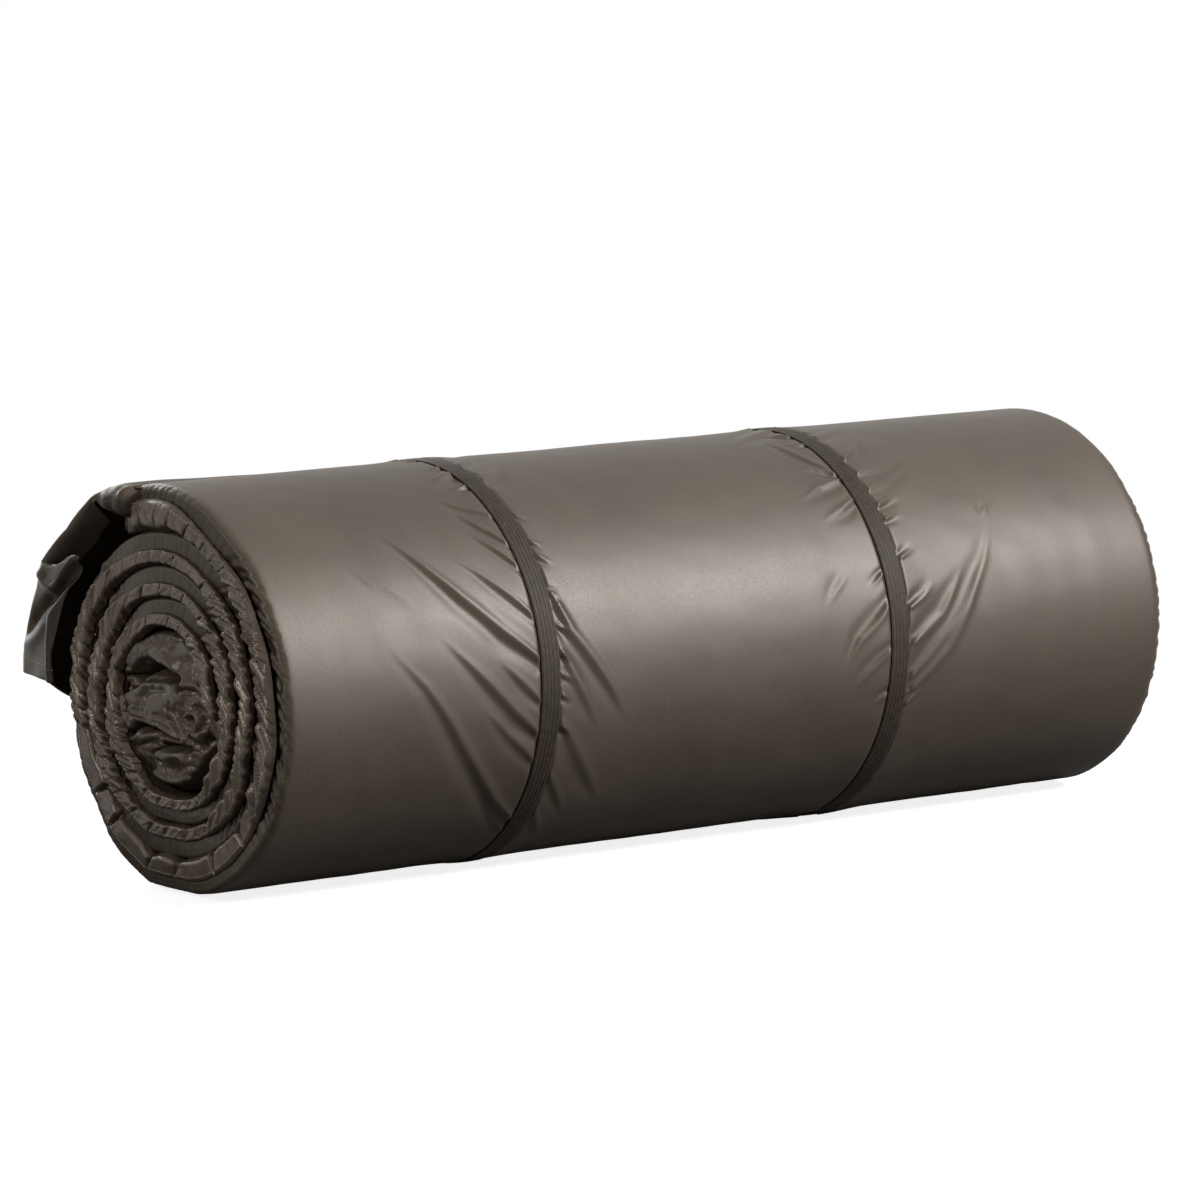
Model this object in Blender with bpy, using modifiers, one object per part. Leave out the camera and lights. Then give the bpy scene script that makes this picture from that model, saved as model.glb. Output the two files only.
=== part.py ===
"""Rolled sleeping mat: a foam mat in a satin cover, wound up and held by two elastic loops.

Metres, +Z up. +X runs along the roll, the end with the loose tail corner lies at -X, and the front is at -Y.
Everything is laid out about the winding axis first, then one empty stands it on the floor at z = 0.
Angles are degrees round the winding axis: 0 front, 90 top, 180 back, -90 bottom. They grow outwards
along the spiral, so the mat starts at a large negative angle and its padded end lies at END_ANGLE.
"""

import math

import bmesh
import bpy
from mathutils import Vector, geometry

# The mat and its winding
MAT_WIDTH = 0.650
END_ANGLE = 114.0
END_RADIUS = 0.1205
OUTER_PITCH = 0.0215
INNER_PITCH = 0.0150
TURNS = 4.667
END_LIFT = 0.0055
END_LIFT_SPAN = 75.0
EDGE_ROUND = 0.018
NOSE_LENGTH = 0.013
NOSE_END_SHARE = 0.45
FOAM_END_GAP = 0.0022

# Sheets, trim and the gaps between them
COVER_THICKNESS = 0.0008
TAIL_THICKNESS = 0.0010
CLEARANCE = 0.0003
TURN_GAP = 0.0005

# Flat on which the roll rests, as half its angle
REST_HALF_ANGLE = 12.0

# Ruched hem along both long edges
HEM_DEPTH = 0.0105
HEM_THICKNESS = 0.0012
HEM_RISE = 0.0008
RUCHE_HEIGHT = 0.0024

# Unpadded tail of the cover beyond the padded end
TAIL_LENGTH = 0.185
TAIL_START_ANGLE = 102.0
FLARE_END_ANGLE = 181.0
FLARE_END_RADIUS = 0.149
CORNER_STRAP_GAP = 0.0055
CORNER_SEAM_GAP = 0.0006
CORNER_WALL_DEPTH = 0.043
CORNER_WALL_LEAN = 0.010
CORNER_WALL_CLEARANCE = 0.006
CORNER_FOLD_HEIGHT = 0.007
CORNER_WALL_FADE = 18.0
CORNER_LIP_DEPTH = 0.004
CORNER_LIP_OUT = 0.0015
NOSE_MARGIN = 4.0

# Slack cover folded into the middle of the roll
CORE_RADIUS = 0.0235
CORE_CENTRE_Y = 0.003
CORE_CENTRE_Z = 0.0035
CORE_FOLD_SPACING = 0.0085
CORE_FOLD_COUNT = 5
CORE_WAVE = 0.0012
CORE_THICKNESS = 0.0016
CORE_INSET = 0.002
CORE_LEAD = 0.004

# Elastic loops
STRAP_WIDTH = 0.013
STRAP_THICKNESS = 0.0012
STRAP_EDGE = 0.0003
STRAP_LEFT_INSET = 0.187
STRAP_RIGHT_INSET = 0.205
LAP_ANGLE = 215.0
LAP_LENGTH = 0.024

# Mesh fineness: degrees between sections of the outer and the inner turns, and points a length apart
FINE_STEP = 12.0
COARSE_STEP = 24.0
FINE_TURNS = 1
TAIL_ROW_SPACING = 0.022
CORNER_COLUMNS = 7
FLARE_POINTS = 40
CORE_ROUNDINGS = 1

# Places that follow from the sizes above
STRAP_LEFT_X = STRAP_LEFT_INSET - MAT_WIDTH / 2.0
STRAP_RIGHT_X = MAT_WIDTH / 2.0 - STRAP_RIGHT_INSET
CORNER_WIDTH = STRAP_LEFT_INSET - STRAP_WIDTH / 2.0 - CORNER_STRAP_GAP

COVER_COLOUR = (0.115, 0.094, 0.074, 1.0)
HEM_COLOUR = (0.082, 0.066, 0.054, 1.0)
ELASTIC_COLOUR = (0.040, 0.033, 0.027, 1.0)
FOAM_COLOUR = (0.200, 0.200, 0.190, 1.0)


def clear_scene():
    for obj in list(bpy.data.objects):
        bpy.data.objects.remove(obj)


def smooth(share):
    share = min(max(share, 0.0), 1.0)
    return share * share * (3.0 - 2.0 * share)


# The winding: radii, sections and where they lie


def turn_radius(angle):
    """Outer radius of the turn that passes this angle, before the free end lifts."""
    turns = (angle - END_ANGLE) / 360.0
    tightening = (OUTER_PITCH - INNER_PITCH) / (2.0 * TURNS)
    return END_RADIUS + OUTER_PITCH * turns + tightening * turns * turns


def base_radius(angle):
    return turn_radius(angle - 360.0) + TURN_GAP


def top_radius(angle):
    lift = END_LIFT * smooth(1.0 + (angle - END_ANGLE) / END_LIFT_SPAN)
    return turn_radius(angle) + lift


def outermost_radius(angle):
    """Radius of the roll's surface in this direction, whichever turn lies outside there."""
    return turn_radius(END_ANGLE - (END_ANGLE - angle) % 360.0)


def rest_lift(angle, radius):
    """How far the roll's own weight pushes a point up, so that its lowest facets lie flat."""
    outer = outermost_radius(angle)
    off_bottom = (angle + 90.0 + 180.0) % 360.0 - 180.0
    edge = math.radians(REST_HALF_ANGLE)
    flat_level = outermost_radius(-90.0 - REST_HALF_ANGLE) * math.cos(edge)
    held = max(-REST_HALF_ANGLE, min(REST_HALF_ANGLE, off_bottom))
    lift = outermost_radius(-90.0 + held) * math.cos(math.radians(held)) - flat_level
    fade = 1.0 - smooth((abs(off_bottom) - REST_HALF_ANGLE) / REST_HALF_ANGLE)
    return lift * fade * (radius / outer) ** 2


def section_point(angle, radius):
    """(y, z) about the winding axis."""
    turn = math.radians(angle)
    return (-radius * math.cos(turn), radius * math.sin(turn) + rest_lift(angle, radius))


def stations(fine_step, coarse_step):
    """Angles of the sections: coarse in the inner turns, fine in the outer ones, all on one grid."""
    fine_start = END_ANGLE - 360.0 * FINE_TURNS
    coarse_count = round((TURNS - FINE_TURNS) * 360.0 / coarse_step)
    fine_count = round(FINE_TURNS * 360.0 / fine_step)
    coarse = [fine_start - coarse_step * k for k in range(coarse_count, 0, -1)]
    return coarse + [fine_start + fine_step * k for k in range(fine_count + 1)]


def nose_share(angle, first, last):
    """Share of its thickness that the padded mat keeps here: its two ends are rounded off."""
    radius = turn_radius(angle)
    ahead = math.radians(min(angle - first, last - angle)) * radius / NOSE_LENGTH
    if ahead >= 1.0:
        return 1.0
    return NOSE_END_SHARE + (1.0 - NOSE_END_SHARE) * math.sqrt(1.0 - (1.0 - ahead) ** 2)


def edge_profile(angle, share, inset, cuts):
    """Half outline of the padded mat: (x, radius) points over its +X edge at the given edge angles."""
    top = base_radius(angle) + (top_radius(angle) - base_radius(angle)) * share
    middle = (top + base_radius(angle)) / 2.0
    half = (top - base_radius(angle)) / 2.0 - inset
    reach = EDGE_ROUND - inset
    straight = MAT_WIDTH / 2.0 - EDGE_ROUND
    return [
        (straight + reach * math.cos(math.radians(cut)), middle + half * math.sin(math.radians(cut)))
        for cut in cuts
    ]


def both_sides(half):
    return [(-x, radius) for x, radius in half] + [(x, radius) for x, radius in reversed(half)]


def placed(angle, ring):
    return [Vector((x, *section_point(angle, radius))) for x, radius in ring]


# Mesh helpers


def new_material(name, colour, roughness):
    material = bpy.data.materials.new(name)
    material.use_nodes = True
    shader = material.node_tree.nodes["Principled BSDF"]
    shader.inputs["Base Color"].default_value = colour
    shader.inputs["Roughness"].default_value = roughness
    shader.inputs["Metallic"].default_value = 0.0
    return material


def loft(sections, closed=False):
    """Skin through rings of equally many points; a closed loft joins its last ring to its first."""
    mesh = bmesh.new()
    rings = [[mesh.verts.new(point) for point in ring] for ring in sections]
    pairs = list(zip(rings, rings[1:]))
    if closed:
        pairs.append((rings[-1], rings[0]))
    for ring, following in pairs:
        for k in range(len(ring)):
            after = (k + 1) % len(ring)
            mesh.faces.new((ring[k], ring[after], following[after], following[k]))
    if not closed:
        mesh.faces.new(rings[0])
        mesh.faces.new(rings[-1])
    return mesh


def sheet(rows):
    """Open grid of faces through rows of equally many points."""
    mesh = bmesh.new()
    grid = [[mesh.verts.new(point) for point in row] for row in rows]
    for row, following in zip(grid, grid[1:]):
        for k in range(len(row) - 1):
            mesh.faces.new((row[k], row[k + 1], following[k + 1], following[k]))
    return mesh


def add_piece(name, mesh, material, parent, origin=(0.0, 0.0, 0.0)):
    """Turns a bmesh into a named object whose origin lies at the given point of the layout."""
    bmesh.ops.remove_doubles(mesh, verts=mesh.verts, dist=1e-6)
    bmesh.ops.translate(mesh, verts=mesh.verts, vec=-Vector(origin))
    bmesh.ops.recalc_face_normals(mesh, faces=mesh.faces)
    data = bpy.data.meshes.new(name)
    mesh.to_mesh(data)
    mesh.free()
    data.materials.append(material)
    data.shade_smooth()
    data.set_sharp_from_angle(angle=math.radians(35.0))
    obj = bpy.data.objects.new(name, data)
    obj.location = origin
    obj.parent = parent
    MAT.objects.link(obj)
    return obj


# Outlines in the Y-Z plane


def hull(points):
    """Convex hull, in turn from the lowest Y, with collinear points left out."""

    def half(ordered):
        kept = []
        for p in ordered:
            while len(kept) > 1 and turning(kept[-2], kept[-1], p) <= 1e-9:
                kept.pop()
            kept.append(p)
        return kept[:-1]

    ordered = sorted(points)
    return half(ordered) + half(ordered[::-1])


def turning(a, b, c):
    return (b[0] - a[0]) * (c[1] - a[1]) - (b[1] - a[1]) * (c[0] - a[0])


def mitres(loop):
    """For each corner of a closed loop, the outward step that keeps both its edges one unit off."""
    steps = []
    for k, here in enumerate(loop):
        before = (Vector(here) - Vector(loop[k - 1])).normalized()
        after = (Vector(loop[(k + 1) % len(loop)]) - Vector(here)).normalized()
        first = Vector((before.y, -before.x))
        second = Vector((after.y, -after.x))
        steps.append((first + second) / (1.0 + first.dot(second)))
    return steps


def offset(loop, distance):
    return [tuple(Vector(p) + step * distance) for p, step in zip(loop, mitres(loop))]


def direction(point):
    """Angle of a (y, z) point round the winding axis, from -90 at the bottom round to 270."""
    return (math.degrees(math.atan2(point[1], -point[0])) + 90.0) % 360.0 - 90.0


def along(path, distance):
    """The point of a polyline at this distance from its start; past its end it runs straight on."""
    for here, following in zip(path, path[1:]):
        here, following = Vector(here), Vector(following)
        length = (following - here).length
        if distance <= length or following == Vector(path[-1]):
            return here + (following - here) * (distance / length)
        distance -= length


def lengths(path):
    total = [0.0]
    for here, following in zip(path, path[1:]):
        total.append(total[-1] + (Vector(following) - Vector(here)).length)
    return total


def roll_outline():
    """The roll's outermost corners over its last turn."""
    last = [a for a in stations(FINE_STEP, COARSE_STEP) if a >= END_ANGLE - 360.0]
    first = stations(FINE_STEP, COARSE_STEP)[0]
    points = []
    for angle in last + nose_stations():
        share = nose_share(angle, first, END_ANGLE) if angle > END_ANGLE - 2.0 * FINE_STEP else 1.0
        top = base_radius(angle) + (top_radius(angle) - base_radius(angle)) * share
        points.append(section_point(angle, top))
    return hull(points)


def least_turn_gap():
    """Narrowest gap between one turn's underside and the turn below it, on the sections' own corners."""
    grid = stations(FINE_STEP, COARSE_STEP)
    tops = [Vector(section_point(angle, turn_radius(angle))) for angle in grid]
    gaps = []
    for angle in grid:
        if angle - 360.0 < grid[0]:
            continue
        under = Vector(section_point(angle, base_radius(angle)))
        below = [k for k, other in enumerate(grid[:-1]) if abs(other - angle + 360.0) <= 2.0 * COARSE_STEP]
        for k in below:
            nearest = geometry.intersect_point_line(under, tops[k], tops[k + 1])
            share = min(max(nearest[1], 0.0), 1.0)
            gaps.append((under - tops[k].lerp(tops[k + 1], share)).length)
    return min(gaps)


def nose_stations():
    """Extra sections that round off the padded end."""
    return [END_ANGLE - FINE_STEP / 2.0, END_ANGLE - FINE_STEP / 4.0]


def tail_path():
    """Inner side of the tail where the loops hold it: over the padded end, then down the roll's back."""
    loop = offset(roll_outline(), CLEARANCE)
    corners = sorted((direction(p), p) for p in loop)
    path = [p for angle, p in corners if angle >= TAIL_START_ANGLE - FINE_STEP / 4.0]
    spaced = [path[0]]
    for here, following in zip(path, path[1:]):
        parts = max(1, round((Vector(following) - Vector(here)).length / TAIL_ROW_SPACING))
        for k in range(1, parts + 1):
            spaced.append(tuple(Vector(here).lerp(Vector(following), k / parts)))
    total = lengths(spaced)
    kept = [p for p, length in zip(spaced, total) if length < TAIL_LENGTH - TAIL_ROW_SPACING / 4.0]
    return kept + [tuple(along(spaced, TAIL_LENGTH))]


def flare_path(start):
    """The tail's free border: it keeps widening past the padded end instead of hugging the roll."""
    first = direction(start)
    radius = Vector(start).length
    path = []
    for k in range(FLARE_POINTS + 1):
        share = k / FLARE_POINTS
        angle = math.radians(first + (FLARE_END_ANGLE - first) * share)
        reach = radius + (FLARE_END_RADIUS - radius) * share
        path.append((-reach * math.cos(angle), reach * math.sin(angle)))
    return path


# The pieces


def foam_core(parent, material):
    angles = padded_stations()
    inset = COVER_THICKNESS + CLEARANCE
    sections = []
    for angle in angles[1:-1]:
        share = nose_share(angle, angles[0], angles[-1])
        ring = both_sides(edge_profile(angle, share, inset, (90.0, 0.0, -90.0)))
        sections.append(placed(angle, ring))
    return add_piece("foam_core", loft(sections), material, parent)


def padded_stations():
    """Section angles of the padded mat: the cover ends at the outer two, and the foam at the next ones in."""
    grid = stations(FINE_STEP, COARSE_STEP)
    foam_start = grid[0] + math.degrees(FOAM_END_GAP / base_radius(grid[0]))
    foam_end = grid[-1] - math.degrees(FOAM_END_GAP / turn_radius(grid[-1]))
    return sorted(grid + nose_stations() + [foam_start, foam_end])


def cover_sheet(name, parent, material, side):
    """One face of the cover with its half of the rounded edges, closed at both ends; side 1 is outside."""
    angles = padded_stations()
    cuts = [90.0 * side, 45.0 * side, 0.0]
    wall = COVER_THICKNESS
    sections = []
    for angle in angles:
        share = nose_share(angle, angles[0], angles[-1])
        outside = edge_profile(angle, share, 0.0, cuts)
        inside = edge_profile(angle, share, wall, cuts)
        seam = side * CLEARANCE / 2.0
        outside[2] = (outside[2][0], outside[2][1] + seam)
        inside[2] = (inside[2][0], inside[2][1] + seam)
        closed_inside = [(x, outside[2][1]) for x, radius in inside]
        outer = [(-x, radius) for x, radius in outside[::-1]] + outside
        inner = [(x, radius) for x, radius in inside[::-1]] + [(-x, radius) for x, radius in inside]
        closed = [(x, radius) for x, radius in closed_inside[::-1]] + [
            (-x, radius) for x, radius in closed_inside
        ]
        open_ring = placed(angle, outer + inner)
        closed_ring = placed(angle, outer + closed)
        plate = math.degrees(wall / turn_radius(angle))
        if angle == angles[0]:
            sections.append(closed_ring)
            sections.append(placed(angle + plate, outer + closed))
            sections.append(placed(angle + plate, outer + inner))
        elif angle == angles[-1]:
            sections.append(placed(angle - plate, outer + inner))
            sections.append(placed(angle - plate, outer + closed))
            sections.append(closed_ring)
        else:
            sections.append(open_ring)
    return add_piece(name, loft(sections), material, parent)


def hem(name, parent, material, side):
    """Ruched flange of the edge seam, folded against the roll's end and pointing inwards."""
    face = MAT_WIDTH / 2.0 + CLEARANCE
    sections = []
    for k, angle in enumerate(stations(FINE_STEP / 2.0, COARSE_STEP)):
        seam = (top_radius(angle) + base_radius(angle)) / 2.0
        wave = RUCHE_HEIGHT if k % 2 else 0.0
        tip = seam - HEM_DEPTH
        ring = [
            (side * face, seam + HEM_RISE),
            (side * (face + HEM_THICKNESS), seam + HEM_RISE),
            (side * (face + wave + HEM_THICKNESS), tip),
            (side * (face + wave), tip),
        ]
        sections.append(placed(angle, ring))
    return add_piece(name, loft(sections), material, parent)


def tail(parent, material):
    """The part of the tail that both loops hold against the roll."""
    inner = tail_path()
    loop = mitre_path(inner)
    outer = [Vector(p) + step * TAIL_THICKNESS for p, step in zip(inner, loop)]
    left = -MAT_WIDTH / 2.0 + CORNER_WIDTH + CORNER_SEAM_GAP
    right = MAT_WIDTH / 2.0
    sections = []
    for low, high in zip(inner, outer):
        corners = ((left, low), (right, low), (right, high), (left, high))
        sections.append([Vector((x, *point)) for x, point in corners])
    return add_piece("end_flap", loft(sections), material, parent)


def mitre_path(path):
    """Outward unit steps along an open path that runs from the top down the back."""
    steps = []
    for k, here in enumerate(path):
        before = (Vector(here) - Vector(path[k - 1])).normalized() if k else None
        after = (Vector(path[k + 1]) - Vector(here)).normalized() if k + 1 < len(path) else None
        before = before or after
        after = after or before
        first = Vector((-before.y, before.x))
        second = Vector((-after.y, after.x))
        steps.append((first + second) / (1.0 + first.dot(second)))
    return steps


def tail_corner(parent, material):
    """The free corner at the roll's left end, flared off the roll, with its edge wall turned inwards."""
    held = tail_path()
    flared = flare_path(held[0])
    distances = lengths(held)
    left = -MAT_WIDTH / 2.0
    rows = []
    for low, distance in zip(held, distances):
        free = along(flared, distance)
        share_down = distance / TAIL_LENGTH
        row = []
        for k in range(CORNER_COLUMNS + 1):
            share = k / CORNER_COLUMNS
            point = Vector(low).lerp(free, smooth(1.15 * share))
            row.append(Vector((left + CORNER_WIDTH * (1.0 - share), *point)))
        row += corner_wall(free, share_down, left)
        rows.append(row)
    piece = add_piece("flap_corner_left", sheet(rows), material, parent, (0.0, *held[0]))
    outward = face_outwards(piece)
    thicken = piece.modifiers.new("Cloth", "SOLIDIFY")
    thicken.thickness = TAIL_THICKNESS
    thicken.offset = 1.0 if outward else -1.0
    thicken.use_even_offset = True
    return piece


def face_outwards(piece):
    """Whether the sheet's faces point away from the roll."""
    face = piece.data.polygons[0]
    centre = piece.matrix_basis @ face.center
    return face.normal.dot(Vector((0.0, centre.y, centre.z))) > 0.0


def corner_wall(free, share_down, left):
    """The corner's side wall: it turns in from the border towards the roll, with one fold across it."""
    inward = -Vector(free).normalized()
    past_nose = smooth((direction(free) - END_ANGLE - NOSE_MARGIN) / CORNER_WALL_FADE)
    gap = Vector(free).length - outermost_radius(direction(free)) - CORNER_WALL_CLEARANCE
    depth = CORNER_LIP_DEPTH + (max(min(CORNER_WALL_DEPTH, gap), CORNER_LIP_DEPTH) - CORNER_LIP_DEPTH) * past_nose
    fold = CORNER_FOLD_HEIGHT * math.sin(math.pi * min(2.0 * share_down, 1.0))
    points = []
    for share, lean in ((0.12, 0.0), (0.55, 0.6), (1.0, 1.0)):
        y, z = Vector(free) + inward * depth * share
        inset = CORNER_WALL_LEAN * lean * past_nose - CORNER_LIP_OUT
        x = left + inset - fold * math.sin(math.pi * share) * past_nose
        points.append(Vector((x, y, z)))
    return points


def core_lead():
    """Two points that take the slack cover straight out of the padded mat's inner end."""
    start = padded_stations()[0]
    thickness = top_radius(start) - base_radius(start)
    radius = base_radius(start) + NOSE_END_SHARE * thickness / 2.0
    end_face = Vector(section_point(start, radius))
    away = Vector((-math.sin(math.radians(start)), -math.cos(math.radians(start))))
    return [tuple(end_face + away * CLEARANCE), tuple(end_face + away * CORE_LEAD)]


def slack_core(parent, material):
    """Unpadded start of the cover, folded to and fro in the hole at the middle of the roll."""
    path = core_lead()
    for k in range(CORE_FOLD_COUNT):
        height = CORE_FOLD_SPACING * (k - (CORE_FOLD_COUNT - 1) / 2.0)
        reach = math.sqrt(max(CORE_RADIUS**2 - height**2, CORE_FOLD_SPACING**2))
        side = 1.0 if k % 2 else -1.0
        for share in (-1.0, -0.55, 0.0, 0.55, 1.0):
            wave = CORE_WAVE * math.sin(3.0 * share + k)
            path.append((CORE_CENTRE_Y + side * reach * share, CORE_CENTRE_Z + height + wave))
    rounded = rounded_path(path)
    steps = mitre_path(rounded)
    half = CORE_THICKNESS / 2.0
    outline = [Vector(p) + step * half for p, step in zip(rounded, steps)]
    outline += [Vector(p) - step * half for p, step in zip(rounded[::-1], steps[::-1])]
    reach = MAT_WIDTH / 2.0 - CORE_INSET
    sections = [[Vector((x, *p)) for p in outline] for x in (-reach, reach)]
    return add_piece("inner_flap", loft(sections), material, parent)


def rounded_path(path):
    """The path with its corners cut, as in a soft fold."""
    for _ in range(CORE_ROUNDINGS):
        cut = [path[0]]
        for here, following in zip(path, path[1:]):
            here, following = Vector(here), Vector(following)
            cut.append(tuple(here.lerp(following, 0.25)))
            cut.append(tuple(here.lerp(following, 0.75)))
        cut.append(path[-1])
        path = cut
    return path


def strap(name, parent, material, x):
    """Elastic loop round the roll and the tail, with its ends lapped and sewn at the lower back."""
    held = tail_path()
    steps = mitre_path(held)
    outside = [tuple(Vector(p) + step * TAIL_THICKNESS) for p, step in zip(held, steps)]
    loop = offset(hull(roll_outline() + outside), CLEARANCE)
    loop, doubled = with_lap(loop)
    half = STRAP_WIDTH / 2.0
    sections = []
    for corner, step, layers in zip(loop, mitres(loop), doubled):
        thick = STRAP_THICKNESS * layers
        ring = [
            (x - half + STRAP_EDGE, 0.0),
            (x - half, STRAP_EDGE),
            (x - half, thick - STRAP_EDGE),
            (x - half + STRAP_EDGE, thick),
            (x + half - STRAP_EDGE, thick),
            (x + half, thick - STRAP_EDGE),
            (x + half, STRAP_EDGE),
            (x + half - STRAP_EDGE, 0.0),
        ]
        sections.append([Vector((at, *(Vector(corner) + step * out))) for at, out in ring])
    return add_piece(name, loft(sections, closed=True), material, parent, (x, 0.0, 0.0))


def with_lap(loop):
    """The loop with four more corners where its lap starts and ends, and each corner's number of layers."""
    turns = [direction(p) for p in loop]
    start = min(range(len(loop)), key=lambda k: abs(turns[k] - LAP_ANGLE))
    here = Vector(loop[start - 1])
    ahead = (Vector(loop[start]) - here).normalized()
    middle = (Vector(loop[start]) + here) / 2.0
    reach = min(LAP_LENGTH, (Vector(loop[start]) - here).length - 0.002) / 2.0
    added = [
        (tuple(middle - ahead * reach), 1),
        (tuple(middle - ahead * (reach - 0.0005)), 2),
        (tuple(middle + ahead * (reach - 0.0005)), 2),
        (tuple(middle + ahead * reach), 1),
    ]
    corners = [(p, 1) for p in loop[:start]] + added + [(p, 1) for p in loop[start:]]
    return [p for p, layers in corners], [layers for p, layers in corners]


def stand_on_floor(frame, pieces):
    """Moves the whole layout so that its box is centred on the origin and its lowest point is on the floor."""
    bpy.context.view_layer.update()
    graph = bpy.context.evaluated_depsgraph_get()
    corners = []
    for piece in pieces:
        evaluated = piece.evaluated_get(graph)
        corners += [evaluated.matrix_world @ v.co for v in evaluated.data.vertices]
    low = [min(p[axis] for p in corners) for axis in range(3)]
    high = [max(p[axis] for p in corners) for axis in range(3)]
    frame.location = (0.0, -(low[1] + high[1]) / 2.0, -low[2])


clear_scene()
MAT = bpy.data.collections.new("sleeping_mat")
bpy.context.scene.collection.children.link(MAT)
frame = bpy.data.objects.new("mat_frame", None)
MAT.objects.link(frame)

satin = new_material("cover_satin", COVER_COLOUR, 0.42)
lining = new_material("cover_lining", COVER_COLOUR, 0.5)
hem_fabric = new_material("hem_fabric", HEM_COLOUR, 0.55)
elastic = new_material("elastic_webbing", ELASTIC_COLOUR, 0.8)
foam = new_material("open_cell_foam", FOAM_COLOUR, 0.95)

pieces = [
    foam_core(frame, foam),
    cover_sheet("cover_top_sheet", frame, satin, 1.0),
    cover_sheet("cover_base_sheet", frame, lining, -1.0),
    hem("hem_left", frame, hem_fabric, -1.0),
    hem("hem_right", frame, hem_fabric, 1.0),
    tail(frame, satin),
    tail_corner(frame, satin),
    slack_core(frame, lining),
    strap("elastic_strap_left", frame, elastic, STRAP_LEFT_X),
    strap("elastic_strap_right", frame, elastic, STRAP_RIGHT_X),
]
stand_on_floor(frame, pieces)
print(f"Least gap between turns: {1000.0 * least_turn_gap():.2f} mm")
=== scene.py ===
"""Looks of a rolled sleeping mat: foam in a satin cover, wound up and held by two elastic loops.

Metres, +Z up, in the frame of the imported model: the roll lies along X, its front is at -Y, and the cover's
loose flap hangs over its back. Angles are degrees round the winding axis: 0 front, 90 top, 180 back,
-90 bottom. They grow outwards along the spiral, as in the model's own source.
"""

import math

import bmesh
import bpy
import numpy as np
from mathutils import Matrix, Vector


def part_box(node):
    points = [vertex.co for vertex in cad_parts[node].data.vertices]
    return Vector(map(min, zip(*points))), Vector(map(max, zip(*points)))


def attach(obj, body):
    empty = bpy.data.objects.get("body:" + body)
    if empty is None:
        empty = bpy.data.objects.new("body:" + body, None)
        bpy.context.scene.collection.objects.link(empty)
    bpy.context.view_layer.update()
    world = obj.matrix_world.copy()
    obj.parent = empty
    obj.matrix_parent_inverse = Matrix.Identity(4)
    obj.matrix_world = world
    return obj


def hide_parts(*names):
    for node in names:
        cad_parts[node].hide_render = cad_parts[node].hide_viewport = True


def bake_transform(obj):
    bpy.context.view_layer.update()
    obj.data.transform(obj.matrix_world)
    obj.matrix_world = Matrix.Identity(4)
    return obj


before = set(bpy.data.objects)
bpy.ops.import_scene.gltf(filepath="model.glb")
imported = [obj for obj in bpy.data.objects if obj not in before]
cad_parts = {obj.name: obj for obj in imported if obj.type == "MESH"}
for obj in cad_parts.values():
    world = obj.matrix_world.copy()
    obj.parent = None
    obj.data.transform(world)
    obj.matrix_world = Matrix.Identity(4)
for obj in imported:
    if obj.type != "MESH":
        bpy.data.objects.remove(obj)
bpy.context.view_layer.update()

# The winding, with the sizes of the model's source
MAT_WIDTH = 0.650
MAT_END = MAT_WIDTH / 2.0
END_ANGLE = 114.0
START_ANGLE = -1566.0
END_RADIUS = 0.1205
OUTER_PITCH = 0.0215
INNER_PITCH = 0.0150
TURNS = 4.667
TURN_GAP = 0.0005
END_LIFT = 0.0055
END_LIFT_SPAN = 75.0
NOSE_LENGTH = 0.020
NOSE_END_SHARE = 0.25
REST_HALF_ANGLE = 12.0
LAST_TURN_START = END_ANGLE - 360.0
CAD_STEP = 12.0
CLEARANCE = 0.0003
# The cloth's edges stand fuller than the source's rounding of 18 mm
EDGE_ROUND = 0.013

# The ruched seam of both long edges and its folded hem
STATION_SPACING = 0.0009
STRAND_PITCH = 0.0078
STRAND_SLANT = 1.6
RIM_SLANT = 1.1
RIM_FULLNESS = 4.0
HEM_THICKNESS = 0.0011
HEM_CURL = 0.0048
TURN_STAGGER = 0.0024
RIGHT_END_STANDS_OUT = 0.0045
CORE_SINK = 0.028
CORE_SINK_END = START_ANGLE + 420.0
STITCH_PITCH = 0.0024
STITCH_THREAD = 0.00022

# Unpadded tail of the cover, and its loose left corner
TAIL_LENGTH = 0.185
TAIL_THICKNESS = 0.0010
TAIL_START_ANGLE = 104.0
TAIL_ROOT_DEPTH = 0.0024
TAIL_HEM = 0.0125
TAIL_SEAM = 0.0105
CORNER_WIDTH = 0.175
CORNER_WALL_DEPTH = 0.044

# Elastic loops
STRAP_WIDTH = 0.013
STRAP_THICKNESS = 0.0013
STRAP_RIBS = 5
STRAP_LEFT_X = -0.138
STRAP_RIGHT_X = 0.120
LAP_ANGLE = 215.0
LAP_LENGTH = 0.024


# Numbers and fields


def smooth(share):
    share = np.clip(share, 0.0, 1.0)
    return share * share * (3.0 - 2.0 * share)


def bell(distance, width):
    return np.exp(-((distance / width) ** 2))


def wander(along, span, seed):
    """Smooth irregular curve from about -1 to 1 that changes over the given span."""
    draw = np.random.default_rng(seed)
    along = np.asarray(along, float)
    total = np.zeros_like(along)
    for _ in range(5):
        rate = draw.uniform(0.45, 1.25) / span
        total = total + np.sin(2.0 * np.pi * (rate * along + draw.uniform()))
    return total / 3.0


def ripple(along, across, span, seed):
    """Smooth irregular relief over a surface, from about -1 to 1."""
    draw = np.random.default_rng(seed)
    total = 0.0
    for _ in range(9):
        turn, rate = draw.uniform(0.0, np.pi), draw.uniform(0.5, 1.3) / span
        phase = rate * (along * np.cos(turn) + across * np.sin(turn)) + draw.uniform()
        total = total + np.sin(2.0 * np.pi * phase)
    return total / 4.0


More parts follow.
